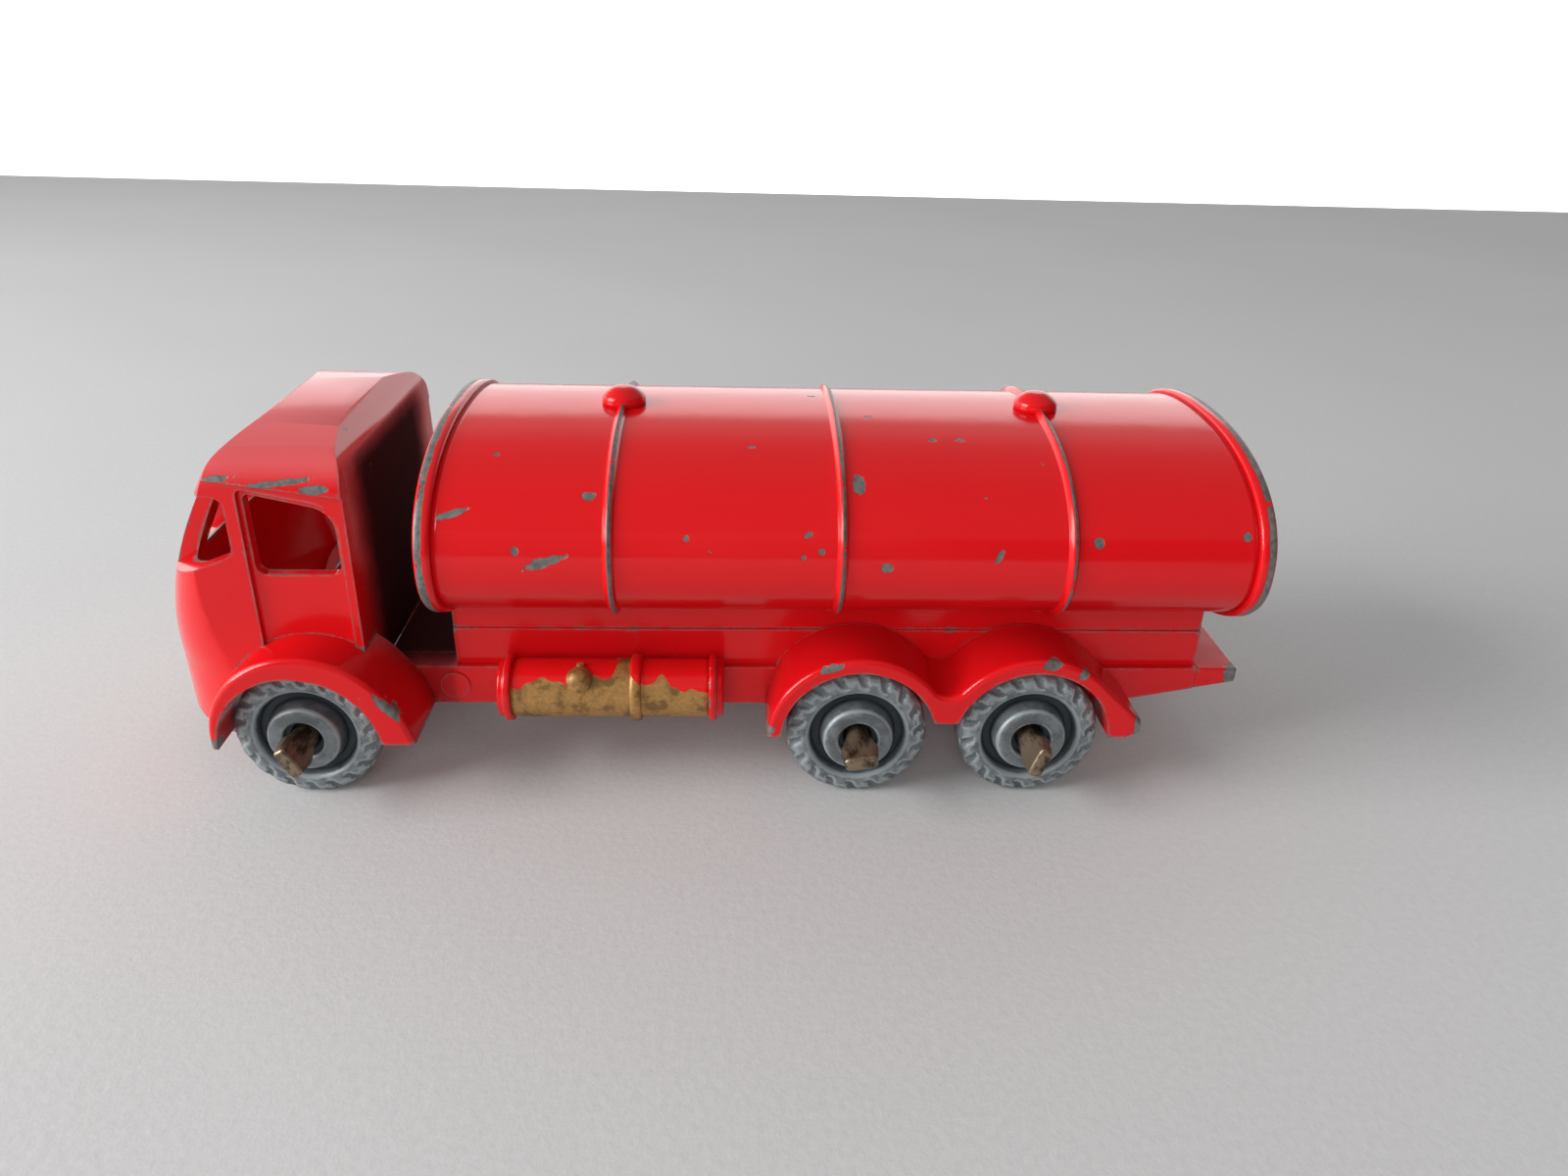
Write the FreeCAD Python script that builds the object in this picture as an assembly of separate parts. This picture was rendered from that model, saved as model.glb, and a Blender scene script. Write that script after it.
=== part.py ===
"""Toy road tanker lorry, die-cast: a forward-control cab, a ribbed tank on a flat frame, and six
free-running metal wheels on three crimped axles.

Millimetres. +X points forward (to the cab), +Y to the lorry's left, +Z up. The origin is on the
floor, under the middle of the overall length. Each function makes one sub-part.
"""
import FreeCAD, Part
import math
import os

V = FreeCAD.Vector

# ---------------------------------------------------------------- lengths along the lorry
cab_length = 13.85          # nose to the cab's back wall
cab_tank_gap = 4.15         # cab's back wall to the tank's front ring
tank_length = 46.9          # over both end rings
tail_overhang = 1.7         # tail plate beyond the rear ring
front_axle_setback = 10.1   # nose to the front axle
rear_axle_setback = 13.7    # tail to the rear axle
bogie_spacing = 10.4        # between the two rear axles

# ---------------------------------------------------------------- wheels and axles
wheel_radius = 4.2
tyre_width = 2.6
tyre_shoulder_depth = 0.6   # shoulder of the tyre, measured in from the tread
tyre_shoulder_width = 0.32  # the same shoulder, measured along the axle
tyre_crown_depth = 0.21     # outer shoulder's bend, in from the tread
tyre_crown_width = 0.096    # and in from the tyre's face
tyre_wall = 1.3             # tread to the inner edge of the tyre's side wall
groove_depth = 0.75         # groove between the tyre and the hub
groove_slope = 0.2
hub_radius = 2.1
hub_edge = 0.12             # bevel round the hub's outer face
hub_proud = 0.5             # hub's outer face beyond the tyre's
hub_mouth_radius = 1.2      # counterbore at the outer end of the wheel's bore
hub_mouth_depth = 0.5
notch_count = 18            # tread blocks round the shoulder
notch_radius = 0.31
notch_setin = 0.24          # notches' axis inside the tread
notch_length = 2.4
axle_radius = 0.75
wheel_bore_clearance = 0.09
bearing_clearance = 0.08
wheel_side_gap = 0.18       # frame to the inner end of the hub
hub_inner_proud = 0.8       # hub's inner end beyond the tyre's
crimp_gap = 0.15            # end float left outside the hub
crimp_length = 2.2
crimp_half_width = 1.12     # wider than the bore, so that the wheel stays on
crimp_tip_half_width = 0.96
crimp_belly_share = 0.4     # widest point of the crimp, along its length
crimp_belly_half_thickness = 0.53
crimp_half_thickness = 0.42 # at its tip

# ---------------------------------------------------------------- frame
frame_half_width = 7.28     # over the side rails
frame_inner_half_width = 5.55
sill_half_width = 6.75      # upper part of the side frames
rail_over_axle = 0.05       # underside of the rails above the axle centre
rail_height = 2.6
sill_height = 2.35
cradle_height = 0.7         # top of the side frames to the underside of the tank rings
cradle_inset = 0.15
deck_thickness = 1.2
tail_plate_thickness = 0.95
tail_slope_length = 6.0     # sloping underside of the rails, ahead of the end of the side frames
sill_end_inset = 0.9        # side frames stop short of the rear ring
sill_front_inset = 0.2      # and of the front ring
rail_front_reach = 3.4      # rails run on ahead of the front axle
lug_half_width = 2.0
lug_radius = 1.9            # bearing lugs round the axle holes
lug_overlap = 0.2           # lug's block below the axle's centre, and up into the rail
boss_radius = 0.9           # round boss on the rail, behind the front mudguard
boss_relief = 0.15
boss_root_depth = 0.5       # boss's inner end inside the rail's face
boss_gap = 0.36             # front mudguard's tip to the boss

# ---------------------------------------------------------------- tank
tank_width = 24.0           # over the rings
tank_upper_height = 6.35    # widest level to the top of the rings
tank_lower_height = 5.35    # widest level to the underside of the rings
tank_roundness = 2.23       # superellipse exponent: 2 is an ellipse
tank_wall = 1.1
ring_height = 0.35          # rings and bands stand this far out of the barrel
ring_width = 0.95
end_dish_depth = 0.35
end_dish_rim = 0.75
band_width = 0.85
band_rounding = 0.28
front_band_setback = 10.3   # tank's front ring to the front band
rear_band_setback = 11.25   # tank's rear ring to the rear band
outline_points = 40
filler_radius = 1.35
filler_rim_height = 0.25
filler_dome_height = 0.45
filler_root_depth = 1.4     # below the rings, so that the cap's rim meets the round of the tank

# ---------------------------------------------------------------- cab
cab_half_width = 9.75       # at the bottom of the door
cab_eave_half_width = 9.15
cab_height = 14.85          # rails to the crown of the roof
cab_eave_drop = 3.2         # crown to the eaves, at the cab's back wall
cab_eave_rise = 0.14        # rise of the eaves for each millimetre forwards
cab_shoulder_half_width = 7.3
cab_shoulder_drop = 0.8     # crown to the roof's shoulders
cab_bend_out = 0.76         # bend between shoulder and gutter, as a share of the way out
cab_bend_up = 0.6           # the same, as a share of the way up from the gutter
cab_eave_draw = 0.3         # eaves of the hollow inside drop this share of the wall
cab_shoulder_draw = 0.5     # and its shoulders come in this share of it
cab_wall = 0.95
cab_gutter = 0.16
cab_front_depth = 8.15      # bulge of the nose ahead of the door line
cab_front_roundness = 2.05  # exponent of the nose's plan, low down
cab_top_roundness = 3.9     # the same at the eaves, where the front is nearly flat
cab_upright_height = 2.9    # upright part of the nose, above the axle
cab_lean_middle = 1.95      # nose's set-back half way from there to the eaves
cab_lean_top = 5.2          # nose's set-back at the eaves
cab_brow_height = 2.4       # rounded upper front of the roof, below the crown
cab_brow_depth = 0.9        # and how far that rounding takes it back
cab_rear_rounding = 2.3
cab_skirt_drop = 0.9        # nose skirt below the axle
cab_back_ridge = 0.5
cab_levels = 9              # plans lofted between the foot and the roof
nose_points = 14
door_length = 5.15
door_recess = 0.28
window_sill_drop = 5.0      # eaves to the bottom of the door window
window_head_drop = 0.6      # eaves to the top of the door window, at its front
window_head_fall = 1.05     # window's top falls this much towards the back
window_length = 4.7
window_corner = 0.55
window_head_corner = 0.33
door_head_margin = 0.3      # door's recess above the window's top
window_rear_corner = 1.5
window_from_back = 0.7
screen_pillar_gap = 1.0     # pillar between the door window and the windscreen
screen_sill_drop = 4.1      # eaves to the windscreen's lower edge, at the pillar
screen_sill_fall = 3.3      # lower edge falls this much on its way to the nose
screen_head_drop = 0.9
screen_corner = 0.7
centre_pillar_half_width = 0.45
screen_post_inner = 3.6     # corner post between the windscreen and the quarter light, from the middle
screen_post_outer = 6.1
handle_length = 0.9
handle_height = 0.35
handle_relief = 0.3
handle_drop = 1.65          # door window's sill to the handle
handle_from_ridge = 0.75
grille_half_width = 3.1
grille_height = 6.2
grille_base = 0.7           # above the axle
grille_relief = 0.3
grille_bars = 7
grille_slot = 0.42
grille_slot_floor = 0.1     # floor of the slots outside the nose
grille_reach = 3.0          # back from the nose, past its curve at the grille's sides

# ---------------------------------------------------------------- mudguards
arch_clearance = 0.42       # tyre to the inside of the arch
front_arch_setback = 0.2    # arch's centre behind the axle
front_guard_half_width = 12.2
front_guard_thickness = 0.85
front_hood_setback = 0.4    # hood's outer surface, behind the arch's centre
front_hood_lift = 0.45
front_guard_drop = 0.05     # front edge of the arch below the axle
front_guard_tail_angle = 36.0   # degrees above the axle, where the hood turns into its straight tail
front_guard_tail_length = 1.9
front_guard_tip_back = 0.6      # tip of the tail behind the end of its straight top
front_guard_tip_height = 0.3    # bottom of the tip above the axle
rear_guard_half_width = 11.3
rear_guard_thickness = 0.85
rear_guard_end_height = 0.25    # ends of the double arch above the axle
rear_guard_web_height = 1.2     # underside of the web between the arches, above the axle
rear_tip_root_angle = 42.0      # degrees above the axle, where the rear tip flares from the arch
rear_tip_reach = 1.0            # rear tip beyond the arch
rear_tip_height = 1.4           # top of the rear tip above the axle
rear_tip_depth = 0.75
rear_tip_foot = 0.8             # foot of the rear tip ahead of its end
valley_radius = 1.2
guard_lip_rounding = 0.35

# ---------------------------------------------------------------- fuel tanks
fuel_radius = 1.75
fuel_strap_radius = 2.02
fuel_strap_width = 0.7
fuel_end_length = 0.9
fuel_end_rounding = 0.45
fuel_flange_width = 0.5
fuel_standoff = 1.3         # tank's axis outside the rail
fuel_height = 1.95          # tank's axis above the rail's underside
fuel_front_gap = 4.3        # front mudguard's tail to the tank
fuel_rear_gap = 2.5         # tank to the rear mudguard
fuel_knob_radius = 0.85
fuel_knob_sink = 0.35       # knob's centre inside the tank's surface
fuel_knob_share = 0.578     # filler knob, on the way from the front flange to the strap
fuel_knob_angle = 48.0      # degrees up from level
fuel_mid_strap_share = 0.61
vent_radius = 0.22
vent_setin = 0.55           # breather pipe's axis inside the knob's centre
vent_height = 0.85          # top of the pipe above the knob's centre

# ---------------------------------------------------------------- stations worked out from the above
overall_length = grille_relief + cab_length + cab_tank_gap + tank_length + tail_overhang
nose_x = overall_length / 2.0 - grille_relief
tail_x = -overall_length / 2.0
cab_back_x = nose_x - cab_length
tank_front_x = cab_back_x - cab_tank_gap
tank_rear_x = tank_front_x - tank_length
front_axle_x = nose_x - front_axle_setback
rear_axle_x = tail_x + rear_axle_setback
middle_axle_x = rear_axle_x + bogie_spacing
axle_z = wheel_radius
rail_bottom_z = axle_z + rail_over_axle
rail_top_z = rail_bottom_z + rail_height
sill_top_z = rail_top_z + sill_height
tank_bottom_z = sill_top_z + cradle_height
tank_mid_z = tank_bottom_z + tank_lower_height
tank_top_z = tank_mid_z + tank_upper_height
sill_front_x = tank_front_x - sill_front_inset
sill_rear_x = tank_rear_x + sill_end_inset
cab_crown_z = rail_top_z + cab_height
eave_z = cab_crown_z - cab_eave_drop
cab_skirt_z = axle_z - cab_skirt_drop
arch_radius = wheel_radius + arch_clearance
hub_inner_y = frame_half_width + wheel_side_gap
tyre_inner_y = hub_inner_y + hub_inner_proud
tyre_outer_y = tyre_inner_y + tyre_width
hub_outer_y = tyre_outer_y + hub_proud
bearing_radius = axle_radius + bearing_clearance
band_xs = {"front": tank_front_x - front_band_setback,
           "rear": tank_rear_x + rear_band_setback}
band_xs["middle"] = (band_xs["front"] + band_xs["rear"]) / 2.0
axle_xs = {"front": front_axle_x, "middle": middle_axle_x, "rear": rear_axle_x}
crimp_turns = {"front": 118.0, "middle": 8.0, "rear": 70.0}


# ---------------------------------------------------------------- helpers
def box(x0, x1, y0, y1, z0, z1):
    """Box between two corners."""
    return Part.makeBox(x1 - x0, y1 - y0, z1 - z0, V(x0, y0, z0))


def prism(wire, direction):
    """Solid swept by a flat closed wire."""
    return Part.Face(wire).extrude(direction)


def polygon_wire(points):
    """Closed wire through the points, with straight sides."""
    return Part.makePolygon(points + [points[0]])


def rounded_polygon(points, radii):
    """Closed wire through the corners, each rounded to its own radius (0 is sharp)."""
    edges = []
    count = len(points)
    starts = []
    ends = []
    arcs = []
    for i in range(count):
        here = points[i]
        to_last = (points[i - 1] - here)
        to_next = (points[(i + 1) % count] - here)
        to_last.normalize()
        to_next.normalize()
        if radii[i] <= 0:
            starts.append(here)
            ends.append(here)
            arcs.append(None)
            continue
        half = to_last.getAngle(to_next) / 2.0
        reach = radii[i] / math.tan(half)
        bisector = to_last + to_next
        bisector.normalize()
        starts.append(here + to_last * reach)
        ends.append(here + to_next * reach)
        arcs.append(here + bisector * (radii[i] / math.sin(half) - radii[i]))
    for i in range(count):
        if arcs[i] is not None:
            edges.append(Part.Arc(starts[i], arcs[i], ends[i]).toShape())
        edges.append(Part.makeLine(ends[i], starts[(i + 1) % count]))
    return Part.Wire(edges)


def mirror_y(shape):
    """The other hand of a sub-part."""
    return shape.mirror(V(0, 0, 0), V(0, 1, 0))


def cylinder_y(x, z, radius, y0, y1):
    """Cylinder along Y."""
    return Part.makeCylinder(radius, y1 - y0, V(x, y0, z), V(0, 1, 0))


def cylinder_x(y, z, radius, x0, x1):
    """Cylinder along X."""
    return Part.makeCylinder(radius, x1 - x0, V(x0, y, z), V(1, 0, 0))


def superellipse(half_a, half_b, exponent, angle):
    """Point of a superellipse in its polar form."""
    c = math.cos(angle)
    s = math.sin(angle)
    r = (abs(c) ** exponent + abs(s) ** exponent) ** (-1.0 / exponent)
    return half_a * r * c, half_b * r * s


def polygon_edges(points):
    """Straight edges from point to point, left open."""
    return [Part.makeLine(points[i], points[i + 1]) for i in range(len(points) - 1)]


def rounding(radius, wall):
    """Fillet radius, limited so that the two edges of a wall can both take it."""
    return min(radius, 0.45 * wall)


# ---------------------------------------------------------------- tank
def tank_prism(grow, x0, x1):
    """Solid of the tank's section, grown beyond the barrel, from x0 to x1."""
    half = tank_width / 2.0 - ring_height + grow
    up = tank_upper_height - ring_height + grow
    low = tank_lower_height - ring_height + grow
    points = []
    for i in range(outline_points):
        angle = 2 * math.pi * i / outline_points
        y, z = superellipse(half, up if angle < math.pi else low, tank_roundness, angle)
        points.append(V(x0, y, tank_mid_z + z))
    curve = Part.BSplineCurve()
    curve.interpolate(Points=points, PeriodicFlag=True)
    return prism(Part.Wire(curve.toShape()), V(x1 - x0, 0, 0))


def tank_underside(y, grow):
    """Height of the tank's lower surface at a distance from the centre plane."""
    half = tank_width / 2.0 - ring_height + grow
    low = tank_lower_height - ring_height + grow
    share = (1.0 - (abs(y) / half) ** tank_roundness) ** (1.0 / tank_roundness)
    return tank_mid_z - low * share


def tank_barrel():
    """Hollow barrel between the two end plates."""
    x0 = tank_rear_x + ring_width
    x1 = tank_front_x - ring_width
    return tank_prism(0, x0, x1).cut(tank_prism(-tank_wall, x0 - 1, x1 + 1))


def rim_edges(shape, x):
    """Edges of a tank section that lie in the plane X = x."""
    return [e for e in shape.Edges if abs(e.BoundBox.XMin - x) < 1e-4 and abs(e.BoundBox.XMax - x) < 1e-4]


def tank_end(outer_x, inward):
    """End plate with its ring and a shallow dish; inward is +1 or -1 along X."""
    inner_x = outer_x + inward * ring_width
    x0, x1 = sorted((outer_x, inner_x))
    plate = tank_prism(ring_height, x0, x1)
    plate = plate.makeFillet(rounding(band_rounding, ring_width), rim_edges(plate, x0) + rim_edges(plate, x1))
    dish_x = outer_x + inward * end_dish_depth
    d0, d1 = sorted((outer_x - inward, dish_x))
    return plate.cut(tank_prism(-end_dish_rim, d0, d1))


def tank_band(x):
    """Half-round hoop round the barrel."""
    x0 = x - band_width / 2.0
    x1 = x + band_width / 2.0
    hoop = tank_prism(ring_height, x0, x1)
    hoop = hoop.makeFillet(rounding(band_rounding, band_width), rim_edges(hoop, x0) + rim_edges(hoop, x1))
    return hoop.cut(tank_prism(0, x0 - 1, x1 + 1))


def tank_and_hoops():
    """Everything that the cradle and the filler caps seat against, as one filled solid."""
    solid = tank_prism(0, tank_rear_x, tank_front_x)
    for x in band_xs.values():
        solid = solid.fuse(tank_prism(ring_height, x - band_width / 2.0, x + band_width / 2.0))
    return solid


def filler_cap(x):
    """Low domed cap on top of the tank, over a band."""
    base_z = tank_top_z - filler_root_depth
    rim_z = tank_top_z + filler_rim_height
    dome_radius = (filler_radius ** 2 + filler_dome_height ** 2) / (2 * filler_dome_height)
    body = Part.makeCylinder(filler_radius, rim_z + filler_dome_height - base_z, V(x, 0, base_z))
    ball = Part.makeSphere(dome_radius, V(x, 0, rim_z + filler_dome_height - dome_radius))
    return body.common(ball).cut(tank_and_hoops())


def tank_cradle():
    """Deck that closes the top of the frame and carries the tank."""
    half = sill_half_width - cradle_inset
    block = box(sill_rear_x, sill_front_x, -half, half, sill_top_z, tank_underside(half, 0))
    rings = tank_prism(ring_height, tank_front_x - ring_width, tank_front_x)
    rings = rings.fuse(tank_prism(ring_height, tank_rear_x, tank_rear_x + ring_width))
    return block.cut(tank_and_hoops()).cut(rings)


# ---------------------------------------------------------------- frame
def bearing_lug(x):
    """Rounded lug under the rail, round one axle hole."""
    lug = box(x - lug_half_width, x + lug_half_width, frame_inner_half_width, frame_half_width,
              axle_z - lug_overlap, rail_bottom_z + lug_overlap)
    return lug.fuse(cylinder_y(x, axle_z, lug_radius, frame_inner_half_width, frame_half_width))


def side_frame():
    """Left side frame: rail, sill above it, bearing lugs and the round boss."""
    slope_x = sill_rear_x + tail_slope_length
    slope_z = rail_top_z - tail_plate_thickness - (sill_rear_x - tail_x) * tail_slope()
    front_x = front_axle_x + rail_front_reach
    rail_points = [V(front_x, frame_inner_half_width, rail_bottom_z),
                   V(front_x, frame_inner_half_width, rail_top_z),
                   V(sill_rear_x, frame_inner_half_width, rail_top_z),
                   V(sill_rear_x, frame_inner_half_width, slope_z),
                   V(slope_x, frame_inner_half_width, rail_bottom_z)]
    rail = prism(polygon_wire(rail_points), V(0, frame_half_width - frame_inner_half_width, 0))
    sill = box(sill_rear_x, sill_front_x, frame_inner_half_width, sill_half_width, rail_top_z, sill_top_z)
    frame = rail.fuse(sill)
    for x in axle_xs.values():
        frame = frame.fuse(bearing_lug(x))
    boss_x = front_guard_tail(0)[2].x - boss_gap - boss_radius
    boss_z = rail_bottom_z + rail_height / 2.0
    frame = frame.fuse(cylinder_y(boss_x, boss_z, boss_radius, frame_half_width - boss_root_depth,
                                  frame_half_width + boss_relief))
    for x in axle_xs.values():
        frame = frame.cut(cylinder_y(x, axle_z, bearing_radius, 0, frame_half_width + 1))
    return frame.removeSplitter()


def tail_slope():
    """Rise of the rail's underside for each millimetre towards the tail."""
    slope_start = sill_rear_x + tail_slope_length
    rise = rail_top_z - tail_plate_thickness - rail_bottom_z
    return rise / (slope_start - tail_x)


def tail_plate():
    """Flat tail behind the tank, thinning to its rear edge."""
    low_z = rail_top_z - tail_plate_thickness - (sill_rear_x - tail_x) * tail_slope()
    points = [V(sill_rear_x, -frame_half_width, rail_top_z),
              V(tail_x, -frame_half_width, rail_top_z),
              V(tail_x, -frame_half_width, rail_top_z - tail_plate_thickness),
              V(sill_rear_x, -frame_half_width, low_z)]
    return prism(polygon_wire(points), V(0, 2 * frame_half_width, 0))


def rear_cross_member():
    """Wall that closes the frame under the tank's rear end."""
    return box(sill_rear_x, sill_rear_x + deck_thickness, -frame_inner_half_width, frame_inner_half_width,
               rail_bottom_z + rail_height / 2.0, sill_top_z)


def front_cross_member():
    """Wall that closes the frame under the tank's front end."""
    return box(sill_front_x - deck_thickness, sill_front_x, -frame_inner_half_width,
               frame_inner_half_width, rail_bottom_z + rail_height / 2.0, sill_top_z)


def front_deck():
    """Plate that joins the side rails between the cab and the tank."""
    return box(sill_front_x, cab_back_x, -frame_inner_half_width, frame_inner_half_width,
               rail_top_z - deck_thickness, rail_top_z)


# ---------------------------------------------------------------- cab
def eave_at(x):
    """Height of the eaves, which rise towards the front."""
    return eave_z + cab_eave_rise * (x - cab_back_x)


def nose_setback(z):
    """How far the nose stands back at a height: none low down, then a parabola, and a rounded brow."""
    foot_z = axle_z + cab_upright_height
    share = max(0.0, (z - foot_z) / (eave_z - foot_z))
    bend = 2.0 * cab_lean_top - 4.0 * cab_lean_middle
    brow = max(0.0, (z - cab_crown_z + cab_brow_height) / cab_brow_height)
    return bend * share ** 2 + (cab_lean_top - bend) * share + cab_brow_depth * brow ** 2


def cab_plan_wire(inset, z):
    """Plan of the cab at a height: straight sides and a nose that flattens towards the roof."""
    half = cab_half_width - inset
    foot_z = axle_z + cab_upright_height
    share = max(0.0, (z - foot_z) / (eave_z - foot_z))
    roundness = cab_front_roundness + (cab_top_roundness - cab_front_roundness) * share
    depth = cab_front_depth - nose_setback(z) - inset
    start_x = nose_x - cab_front_depth
    back_x = cab_back_x + inset
    nose = []
    for i in range(nose_points + 1):
        x, y = superellipse(depth, half, roundness, math.pi / 2.0 - math.pi * i / nose_points)
        nose.append(V(start_x + x, y, z))
    curve = Part.BSplineCurve()
    curve.interpolate(nose)
    return Part.Wire([curve.toShape()] + polygon_edges([nose[-1], V(back_x, -half, z), V(back_x, half, z),
                                                         nose[0]]))


def cab_body(inset, z0):
    """Cab without its roof: an upright foot, and a loft above it that leans back."""
    foot_z = axle_z + cab_upright_height
    top_z = cab_crown_z + cab_wall / 2.0
    foot = prism(cab_plan_wire(inset, z0), V(0, 0, foot_z - z0))
    wires = [cab_plan_wire(inset, foot_z + (top_z - foot_z) * i / cab_levels)
             for i in range(cab_levels + 1)]
    return foot.fuse(Part.makeLoft(wires, True, False))


def cab_rear_profile(inset, z0):
    """Side view of the cab's back: upright, then rounded into the roof."""
    half = cab_half_width + 1.0
    roof_z = cab_crown_z - inset
    back_x = cab_back_x + inset
    radius = cab_rear_rounding
    corner = radius * (1.0 - math.sqrt(0.5))
    rear_low = V(back_x, -half, roof_z - radius)
    rear_mid = V(back_x + corner, -half, roof_z - corner)
    rear_top = V(back_x + radius, -half, roof_z)
    outline = [Part.Arc(rear_low, rear_mid, rear_top).toShape()]
    outline += polygon_edges([rear_top, V(nose_x + 1.0, -half, roof_z), V(nose_x + 1.0, -half, z0),
                              V(back_x, -half, z0), rear_low])
    return prism(Part.Wire(outline), V(0, 2 * half, 0))


def cab_section_wire(inset, x, z0):
    """Front view of the cab at a station: leaning sides, eaves, round shoulders and a low crown."""
    low = cab_half_width - inset
    eave = cab_eave_half_width - inset
    gutter = eave + (cab_gutter if inset <= 0 else 0.01)
    edge_z = eave_at(x) - inset * cab_eave_draw
    shoulder = cab_shoulder_half_width - inset * cab_shoulder_draw
    shoulder_z = cab_crown_z - cab_shoulder_drop - inset
    bend = V(x, shoulder + (gutter - shoulder) * cab_bend_out, edge_z + (shoulder_z - edge_z) * cab_bend_up)
    right = [V(x, -low, z0), V(x, -eave, edge_z), V(x, -gutter, edge_z)]
    left = [V(x, gutter, edge_z), V(x, eave, edge_z), V(x, low, z0), V(x, -low, z0)]
    edges = polygon_edges(right)
    edges.append(Part.Arc(right[-1], V(x, -bend.y, bend.z), V(x, -shoulder, shoulder_z)).toShape())
    edges.append(Part.Arc(V(x, -shoulder, shoulder_z), V(x, 0, cab_crown_z - inset),
                          V(x, shoulder, shoulder_z)).toShape())
    edges.append(Part.Arc(V(x, shoulder, shoulder_z), bend, left[0]).toShape())
    return Part.Wire(edges + polygon_edges(left))


def cab_block(inset, z0):
    """Filled cab, drawn in by inset on every side but the bottom."""
    section = Part.makeLoft([cab_section_wire(inset, x, z0) for x in (cab_back_x - 1.0, nose_x + 1.0)],
                            True, True)
    return cab_body(inset, z0).common(section).common(cab_rear_profile(inset, z0))


def door_window_cutter():
    """Opening of the door windows, through both sides."""
    reach = cab_half_width + 1.0
    rear_x = cab_back_x + window_from_back
    front_x = rear_x + window_length
    sill_z = eave_z - window_sill_drop + cab_eave_rise * window_length / 2.0
    head_z = eave_at(front_x) - window_head_drop
    points = [V(rear_x, -reach, sill_z), V(front_x, -reach, sill_z), V(front_x, -reach, head_z),
              V(rear_x, -reach, head_z - window_head_fall)]
    radii = [window_corner, window_corner, window_head_corner, window_rear_corner]
    return prism(rounded_polygon(points, radii), V(0, 2 * reach, 0))


def windscreen_cutter():
    """Openings of the left windscreen pane and of the quarter light between its post and the door."""
    rear_x = cab_back_x + window_from_back + window_length + screen_pillar_gap
    front_x = nose_x + 1.0
    sill_z = eave_z - screen_sill_drop + cab_eave_rise * window_length
    head_z = eave_at(rear_x) - screen_head_drop
    points = [V(rear_x, 0, sill_z), V(front_x, 0, sill_z - screen_sill_fall),
              V(front_x, 0, head_z), V(rear_x, 0, head_z)]
    opening = prism(rounded_polygon(points, [screen_corner, 0.0, 0.0, screen_corner]),
                    V(0, cab_half_width + 1.0, 0))
    centre_pillar = box(rear_x, front_x, 0, centre_pillar_half_width, 0, cab_crown_z)
    corner_post = box(rear_x, front_x, screen_post_inner, screen_post_outer, 0, cab_crown_z)
    return opening.cut(centre_pillar).cut(corner_post)


def door_cutter():
    """Block over the left door, down to the mudguard."""
    rear_x = cab_back_x + cab_back_ridge
    front_x = rear_x + door_length
    head_z = eave_at(front_x) - window_head_drop + door_head_margin
    points = [V(rear_x, 0, axle_z), V(front_x, 0, axle_z), V(front_x, 0, head_z),
              V(rear_x, 0, head_z - window_head_fall)]
    return prism(rounded_polygon(points, [0, 0, window_head_corner, window_rear_corner]),
                 V(0, cab_half_width + 1.0, 0))


def radial_point(centre, radius, angle):
    """Point at an angle round a centre, measured from the rear over the top."""
    return centre + V(-radius * math.cos(angle), 0, radius * math.sin(angle))


def arc_round(centre, radius, start, end):
    """Arc round a centre, in the side view."""
    return Part.Arc(*[radial_point(centre, radius, a) for a in (start, (start + end) / 2.0, end)]).toShape()


# ---------------------------------------------------------------- front mudguards
def front_arch_centre(y):
    """Centre of the front arch's inside."""
    return V(front_axle_x - front_arch_setback, y, axle_z)


def front_hood_circle(y):
    """Centre and radius of the front hood's outer surface."""
    centre = front_arch_centre(y) + V(-front_hood_setback, 0, front_hood_lift)
    return centre, arch_radius + front_guard_thickness


def front_guard_tail(y):
    """Corners of the straight tail: end of the hood, end of the tail's top, and its tip."""
    centre, outer = front_hood_circle(y)
    angle = math.radians(front_guard_tail_angle)
    root = radial_point(centre, outer, angle)
    top = root - V(math.sin(angle), 0, math.cos(angle)) * front_guard_tail_length
    tip = V(top.x - front_guard_tip_back, y, axle_z + front_guard_tip_height)
    return root, top, tip


def front_guard_hood(y0, y1):
    """Filled hood over the front wheel, from its outer surface down past the axle."""
    root, top, tip = front_guard_tail(y0)
    centre, outer = front_hood_circle(y0)
    front = math.pi + math.asin((front_guard_drop + front_hood_lift) / outer)
    hood = arc_round(centre, outer, math.radians(front_guard_tail_angle), front)
    start = radial_point(centre, outer, front)
    sides = polygon_edges([start, V(start.x, y0, -wheel_radius), V(tip.x, y0, -wheel_radius), tip, top, root])
    return prism(Part.Wire([hood] + sides), V(0, y1 - y0, 0))


def front_mudguard():
    """Left front mudguard: the hood, hollowed by the wheel's arch and trimmed at both ends."""
    y0 = frame_half_width
    y1 = front_guard_half_width
    tip = front_guard_tail(y0)[2]
    centre = front_arch_centre(0)
    guard = front_guard_hood(y0, y1)
    rims = [e for e in guard.Edges if e.BoundBox.YMin > y1 - 1e-3 and e.BoundBox.ZMax > axle_z + 1.0]
    guard = guard.makeFillet(rounding(guard_lip_rounding, front_guard_thickness), rims)
    reach = 3 * wheel_radius
    guard = guard.cut(cylinder_y(centre.x, axle_z, arch_radius, y0 - 1, y1 + 1))
    guard = guard.cut(box(centre.x, centre.x + reach, y0 - 1, y1 + 1, -reach, axle_z - front_guard_drop))
    return guard.cut(box(centre.x - reach, centre.x, y0 - 1, y1 + 1, -reach, tip.z))


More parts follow.
